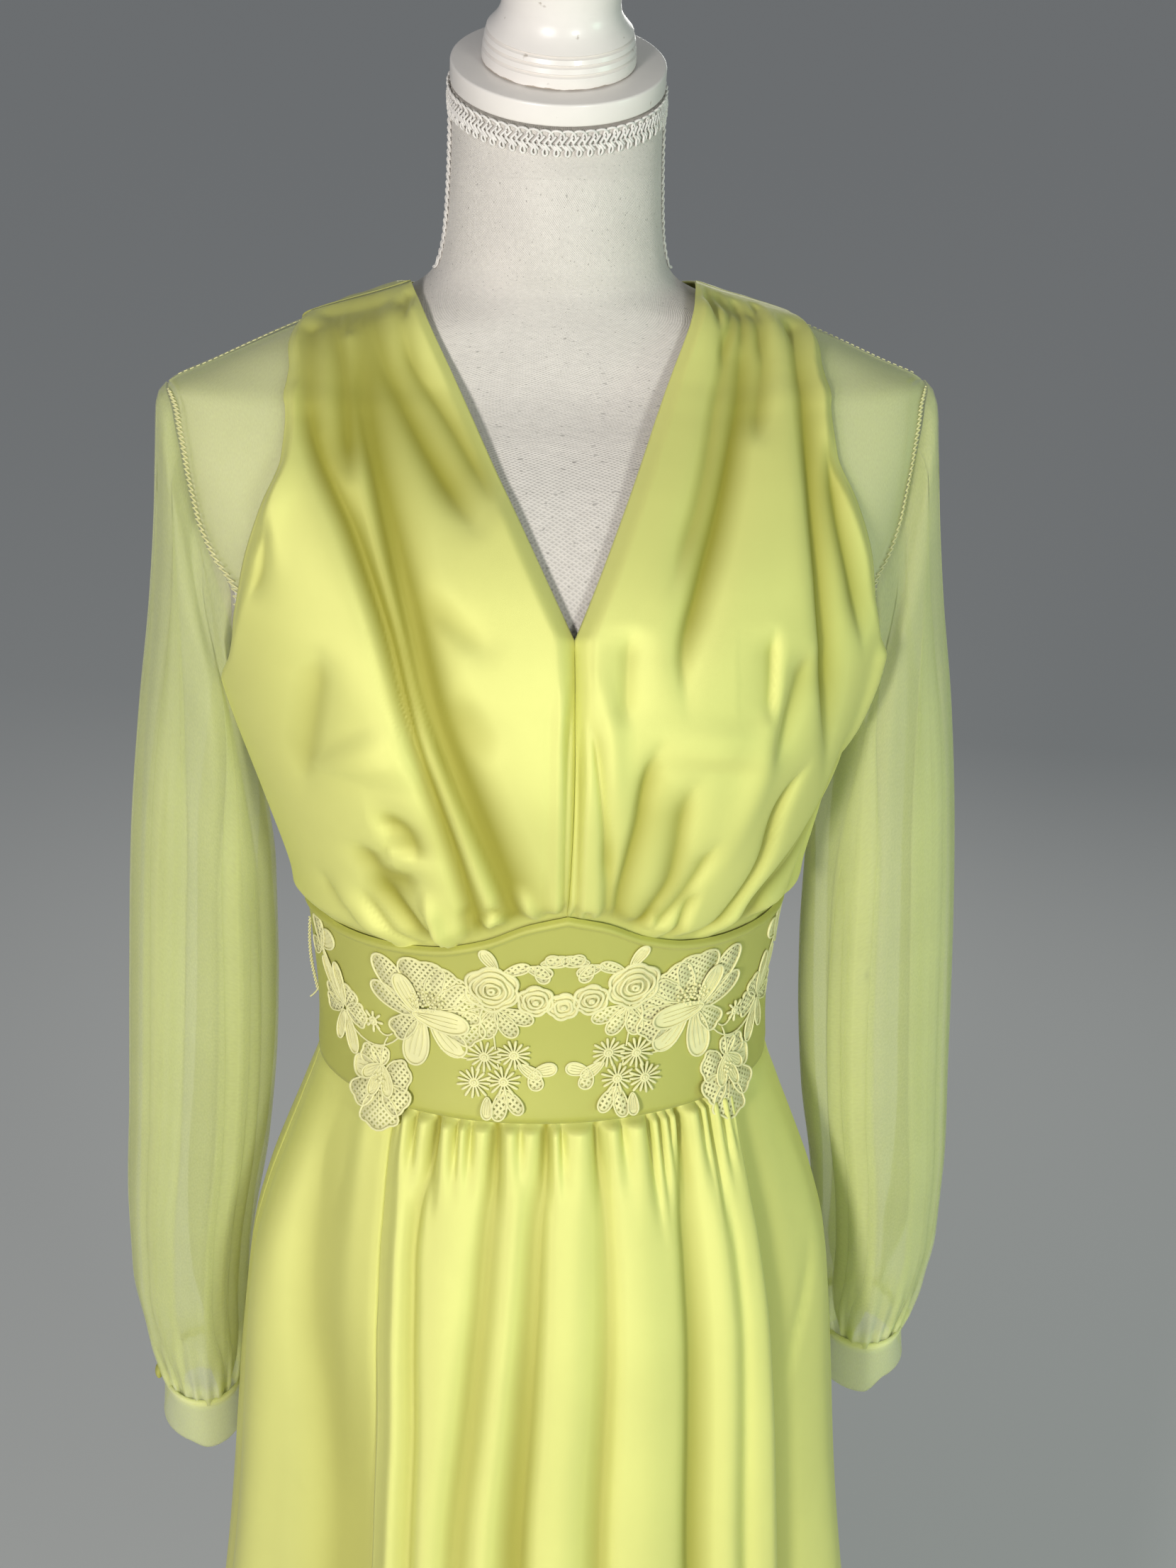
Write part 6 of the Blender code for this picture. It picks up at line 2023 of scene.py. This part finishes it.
class MAXIDRESS_OT_lace(bpy.types.Operator):
    """Corded lace flowers and leaves applied round the band"""

    bl_idname = "maxi_dress.lace"
    bl_label = "Lace"

    def execute(self, context):
        sizes = context.scene.maxi_dress_sizes
        lace = draw_lace(sizes.cord * 100)
        corded = finishes()["guipure_cord"]
        cords = curve_mesh(lace.curve, "lace_cords")
        lay_on_band(cords)
        rims = new_piece("lace_cords", cords, corded)
        for grid in (lace.nets, lace.solid):
            bmesh.ops.recalc_face_normals(grid, faces=grid.faces)
        solid = mesh_from(lace.solid, "lace_fillings")
        lay_on_band(solid)
        fillings = new_piece("lace_fillings", solid, corded)
        net = mesh_from(lace.nets, "lace_net")
        add_flat_uv(net)
        lay_on_band(net)
        nets = new_piece("lace_net", net, finishes()["guipure_net"], ["lace_applique"])
        give_wall(nets, NET_WALL)
        return {"FINISHED"}


class MAXIDRESS_OT_stitching(bpy.types.Operator):
    """Overcast armhole seams, shoulder stitches and the thread loop at the waist"""

    bl_idname = "maxi_dress.stitching"
    bl_label = "Stitching"

    def execute(self, context):
        stitch = context.scene.maxi_dress_sizes.stitch
        for side, word in ((1, "right"), (-1, "left")):
            self.overcast_seam(side, word)
            self.shoulder_stitches(side, word, stitch)
        self.thread_loop()
        return {"FINISHED"}

    def overcast_seam(self, side, word):
        """A thread that swings to and fro over the armhole seam."""
        curve = tube_curve("overcast_seam_" + word, OVERCAST_RADIUS)
        share = np.linspace(0.03, 0.97, OVERCAST_LOOPS * 4)
        swing = np.sin(np.arange(len(share)) * np.pi / 2)
        around = share * 2
        down = np.where(around <= 1, around, 2 - around)
        angle = ARMHOLE_ANGLE(down) + np.degrees((swing * 0.0046 - 0.0066) / 0.15)
        points = on_body(np.where(around <= 1, angle, 180.0 - angle), ARMHOLE_HEIGHT(down), 0.0006)
        points[:, 0] *= side
        add_path(curve, points)
        tube_piece(curve, "guipure_cord")

    def shoulder_stitches(self, side, word, stitch):
        """A row of short stitches along the shoulder."""
        curve = tube_curve("shoulder_stitches_" + word, STITCH_RADIUS)
        for low in np.arange(1.3830, 1.4100, stitch * 0.42):
            pair = on_body(STITCH_ANGLE, np.array((low, low + stitch * 0.24)), 0.0004)
            pair[:, 0] *= side
            add_path(curve, pair)
        tube_piece(curve, "guipure_cord")

    def thread_loop(self):
        """Two twisted threads at the side of the band, with one loose end."""
        curve = tube_curve("thread_loop", LOOP_RADIUS, 2)
        t = np.linspace(0, 1, 90)
        for phase in (0.0, np.pi):
            twist = 2 * np.pi * 11 * t + phase
            height = mix(1.062, 1.104, t)
            reach = 0.0020 + 0.0022 * np.sin(np.pi * t) + 0.0005 * np.cos(twist)
            add_path(curve, on_body(LOOP_ANGLE + 0.35 * np.sin(twist), height, reach))
        t = np.linspace(0, 1, 12)
        add_path(curve, on_body(LOOP_ANGLE - 3 * t, 1.063 - 0.007 * t, 0.0022 + 0.0040 * t**1.5))
        tube_piece(curve, "guipure_cord")


class MAXIDRESS_OT_form(bpy.types.Operator):
    """The linen torso, its braids, the neck cap, the finial, the pole and the base"""

    bl_idname = "maxi_dress.form"
    bl_label = "Dress form"

    def execute(self, context):
        self.torso()
        self.braids()
        self.wood()
        return {"FINISHED"}

    def rim(self, angle):
        """The height of the neck's slanted top all round."""
        neck = on_body(angle, NECK_TOP.z)
        return NECK_TOP.z + (neck[:, 1] - NECK_TOP.y) * math.tan(math.radians(CAP_TILT))

    def torso(self):
        """The linen cover, closed below and under the cap."""
        heights = row_curve(FORM_ROWS, "height")
        insets = row_curve(FORM_ROWS, "inset")
        last = len(FORM_ROWS) - 1

        def place(u, v):
            at = (1 - v) * (last + 2)
            angle = u * 360.0 - 180.0
            height = heights(np.minimum(at, last))
            points = on_body(angle, height, -insets(np.minimum(at, last)))
            points[:, 2] = np.where(height < WAIST, height, points[:, 2])
            rise = np.clip((at - last) / 2, 0, 1)
            above = on_body(angle, mix(FORM_ROWS[-1].height, self.rim(angle) - 0.0010, rise))
            return np.where((at > last)[:, None], above, points), 0.0

        mesh = cloth_mesh("form_torso_cover", *TORSO_GRID, (0.62, 0.75), place, ring=True)
        grid = bmesh.new()
        grid.from_mesh(mesh)
        bmesh.ops.holes_fill(grid, edges=[e for e in grid.edges if e.is_boundary], sides=0)
        bmesh.ops.recalc_face_normals(grid, faces=grid.faces)
        grid.to_mesh(mesh)
        grid.free()
        mesh.shade_smooth()
        mesh.set_sharp_from_angle(angle=math.radians(50))
        new_piece(mesh.name, mesh, finishes()["linen_cover"], ["form_torso"])

    def braids(self):
        """Looped gimp round the neck and down both of its sides."""
        curve = tube_curve("neck_gimp", NECK_GIMP_RADIUS)
        t = np.linspace(0, 1, NECK_GIMP_LOOPS * 14 + 1)[:-1]
        for row, direction in ((0.0022, 1), (0.0088, -1)):
            phase = t * NECK_GIMP_LOOPS * 2 * np.pi
            angle = t * 360.0 + direction * 2.5 * np.sin(phase) + 0.6
            swing = row - direction * 0.0024 * np.cos(phase)
            out = 0.0010 + 0.0005 * np.sin(phase * 2 + direction)
            add_path(curve, on_body(angle, self.rim(angle) - 0.0012 - swing, out), closed=True)
        reach = np.linspace(0, 1, 5)
        for k in range(NECK_GIMP_LOOPS * 2):
            angle = k * 360.0 / (NECK_GIMP_LOOPS * 2) + 3.1 * reach
            for lean in (1, -1):
                drop = 0.0012 + 0.0055 + lean * 0.0030 * reach
                add_path(curve, on_body(angle, self.rim(angle) - drop, 0.0016 - 0.0006 * reach))
        tube_piece(curve, "braid_thread", ["neck_braid"])
        t = np.linspace(0, 1, 22 * 12)
        phase = t * SIDE_GIMP_LOOPS * 2 * np.pi
        height = mix(NECK_TOP.z - BRAID_HEIGHT - 0.0035, SIDE_BRAID_FOOT, t)
        inset = np.interp(height, column(FORM_ROWS, "height"), column(FORM_ROWS, "inset"))
        for side, word in ((1, "right"), (-1, "left")):
            curve = tube_curve("side_gimp_" + word, SIDE_GIMP_RADIUS)
            for direction in (1, -1):
                angle = SIDE_GIMP_ANGLE + direction * (1.1 + 1.5 * np.sin(phase))
                lift = 0.0016 * np.cos(phase)
                points = on_body(angle, height + lift, 0.0008 + 0.0004 * np.sin(phase * 2) - inset)
                points[:, 0] *= side
                add_path(curve, points)
            tube_piece(curve, "braid_thread", ["neck_side_braid_" + word])

    def wood(self):
        """The neck cap, the finial, the base and the pole."""
        paint = finishes()["white_paint"]
        lean = Matrix.Rotation(math.radians(CAP_TILT), 4, "X")
        axis = lean @ Vector((0.0, 0.0, 1.0))
        grid = bmesh.new()
        bmesh.ops.create_cone(
            grid, cap_ends=True, segments=96, radius1=CAP_RADIUS, radius2=CAP_RADIUS, depth=CAP_THICKNESS
        )
        rims = [e for e in grid.edges if abs(e.verts[0].co.z - e.verts[1].co.z) < 1e-6]
        bmesh.ops.bevel(
            grid, geom=rims, offset=CAP_ROUNDING, segments=3, profile=0.5, affect="EDGES", material=-1
        )
        seat = NECK_TOP + axis * (CAP_THICKNESS / 2 + TOUCH)
        bmesh.ops.transform(grid, matrix=Matrix.Translation(seat) @ lean, verts=grid.verts)
        mesh = mesh_from(grid, "neck_cap_wood")
        mesh.set_sharp_from_angle(angle=math.radians(40))
        new_piece(mesh.name, mesh, paint, ["neck_cap"])
        foot = NECK_TOP + axis * (CAP_THICKNESS + 2 * TOUCH)
        mesh = turned_mesh("finial_wood", FINIAL_ROWS, 72, Matrix.Translation(foot) @ lean)
        worn = mesh.attributes.new("worn", "FLOAT", "POINT")
        rises = [(vert.co - foot).dot(axis) for vert in mesh.vertices]
        worn.data.foreach_set("value", [1.0 if rise < 0.0008 else 0.0 for rise in rises])
        new_piece(mesh.name, mesh, paint, ["finial"])
        mesh = turned_mesh("base_wood", STAND_ROWS, 96, Matrix.Identity(4))
        new_piece(mesh.name, mesh, paint, ["base"])
        grid = bmesh.new()
        length = TORSO_FOOT - BASE_HEIGHT - 2 * TOUCH
        bmesh.ops.create_cone(
            grid, cap_ends=True, segments=48, radius1=POLE_RADIUS, radius2=POLE_RADIUS, depth=length
        )
        bmesh.ops.translate(grid, vec=(0, 0, BASE_HEIGHT + TOUCH + length / 2), verts=grid.verts)
        mesh = mesh_from(grid, "pole_wood")
        mesh.set_sharp_from_angle(angle=math.radians(40))
        new_piece(mesh.name, mesh, paint, ["pole"])


class MAXIDRESS_OT_studio(bpy.types.Operator):
    """A plain pale floor, soft lights and the camera"""

    bl_idname = "maxi_dress.studio"
    bl_label = "Studio"

    def execute(self, context):
        self.floor(context.scene.maxi_dress_sizes.floor_reach, context.scene.maxi_dress_colours.floor)
        self.lights()
        self.camera()
        return {"FINISHED"}

    def floor(self, reach, tone):
        """A wide flat sheet, so that no view round the dress is cut off."""
        grid = bmesh.new()
        bmesh.ops.create_grid(grid, x_segments=1, y_segments=1, size=reach)
        mesh = mesh_from(grid, "studio_floor")
        looks = {"Roughness": 0.9, "Base Color": colour(tone)}
        mesh.materials.append(new_material("studio_floor", looks)[0])
        floor = bpy.data.objects.new("studio_floor", mesh)
        bpy.context.scene.collection.objects.link(floor)

    def lights(self):
        """Four round soft lights and a dim even air."""
        world = bpy.data.worlds.new("studio_air")
        world.use_nodes = True
        back = world.node_tree.nodes["Background"]
        back.inputs["Color"].default_value = AIR_COLOUR
        back.inputs["Strength"].default_value = AIR_STRENGTH
        bpy.context.scene.world = world
        bpy.context.scene.view_settings.view_transform = "Standard"
        lamps = table(
            Lamp,
            ("key", (-1.15, -2.25, 1.50), (0.0, 0.0, 1.20), 0.42, 46.0, (1.0, 0.96, 0.93)),
            ("front", (1.25, -3.1, 1.40), (0.0, 0.0, 1.10), 0.8, 34.0, (0.96, 1.0, 0.92)),
            ("fill", (2.2, -1.0, 1.10), (0.1, 0.0, 0.9), 0.8, 8.0, (0.58, 1.0, 0.76)),
            ("back", (0.7, 2.7, 1.9), (0.0, 0.0, 1.0), 1.2, 9.0, (1.0, 0.98, 0.94)),
        )
        for row in lamps:
            lamp = bpy.data.lights.new(row.name, "AREA")
            lamp.shape = "DISK"
            lamp.size = row.size
            lamp.energy = row.power
            lamp.color = row.tone
            light = bpy.data.objects.new(row.name, lamp)
            light.visible_camera = False
            light.location = row.place
            light.rotation_mode = "QUATERNION"
            light.rotation_quaternion = (Vector(row.aim) - Vector(row.place)).to_track_quat("-Z", "Y")
            bpy.context.scene.collection.objects.link(light)

    def camera(self):
        """The camera, which frames the dress from the finial to the thigh."""
        lens = bpy.data.cameras.new("photo_view")
        lens.lens = LENS
        lens.sensor_width = SENSOR
        camera = bpy.data.objects.new("photo_view", lens)
        bpy.context.scene.collection.objects.link(camera)
        turn, pitch, roll = map(math.radians, (CAMERA_TURN, CAMERA_PITCH, CAMERA_ROLL))
        right = Vector((math.cos(turn), -math.sin(turn), 0.0))
        level_ahead = Vector((math.sin(turn), math.cos(turn), 0.0))
        ahead = level_ahead * math.cos(pitch) - Vector((0.0, 0.0, math.sin(pitch)))
        up = right.cross(ahead)
        level = right * math.cos(roll) + up * math.sin(roll)
        upright = -right * math.sin(roll) + up * math.cos(roll)
        place = right * CAMERA_ASIDE - level_ahead * CAMERA_DISTANCE
        place.z = CAMERA_HEIGHT
        matrix = Matrix((level, upright, -ahead)).transposed().to_4x4()
        matrix.translation = place
        camera.matrix_world = matrix
        bpy.context.scene.camera = camera


class MAXIDRESS_PT_panel(bpy.types.Panel):
    """Buttons for the dress's pieces and its sizes and colours"""

    bl_idname = "MAXIDRESS_PT_panel"
    bl_label = "Maxi dress"
    bl_space_type = "VIEW_3D"
    bl_region_type = "UI"
    bl_category = "Maxi dress"

    def draw(self, context):
        for operator in OPERATORS:
            self.layout.operator(operator.bl_idname)
        for group in (context.scene.maxi_dress_sizes, context.scene.maxi_dress_colours):
            for name in group.__annotations__:
                self.layout.prop(group, name)


OPERATORS = (
    MAXIDRESS_OT_form,
    MAXIDRESS_OT_bodice,
    MAXIDRESS_OT_yokes,
    MAXIDRESS_OT_band,
    MAXIDRESS_OT_skirt,
    MAXIDRESS_OT_sleeves,
    MAXIDRESS_OT_lace,
    MAXIDRESS_OT_stitching,
    MAXIDRESS_OT_studio,
)
CLASSES = (MaxiDressSizes, MaxiDressColours, MAXIDRESS_PT_panel) + OPERATORS


def register():
    for part in CLASSES:
        bpy.utils.register_class(part)
    bpy.types.Scene.maxi_dress_sizes = bpy.props.PointerProperty(type=MaxiDressSizes)
    bpy.types.Scene.maxi_dress_colours = bpy.props.PointerProperty(type=MaxiDressColours)


def unregister():
    del bpy.types.Scene.maxi_dress_sizes
    del bpy.types.Scene.maxi_dress_colours
    for part in reversed(CLASSES):
        bpy.utils.unregister_class(part)


def main():
    register()
    bpy.ops.maxi_dress.form()
    bpy.ops.maxi_dress.bodice()
    bpy.ops.maxi_dress.yokes()
    bpy.ops.maxi_dress.band()
    bpy.ops.maxi_dress.skirt()
    bpy.ops.maxi_dress.sleeves()
    bpy.ops.maxi_dress.lace()
    bpy.ops.maxi_dress.stitching()
    bpy.ops.maxi_dress.studio()
    bpy.context.view_layer.update()


if __name__ == "__main__":
    main()
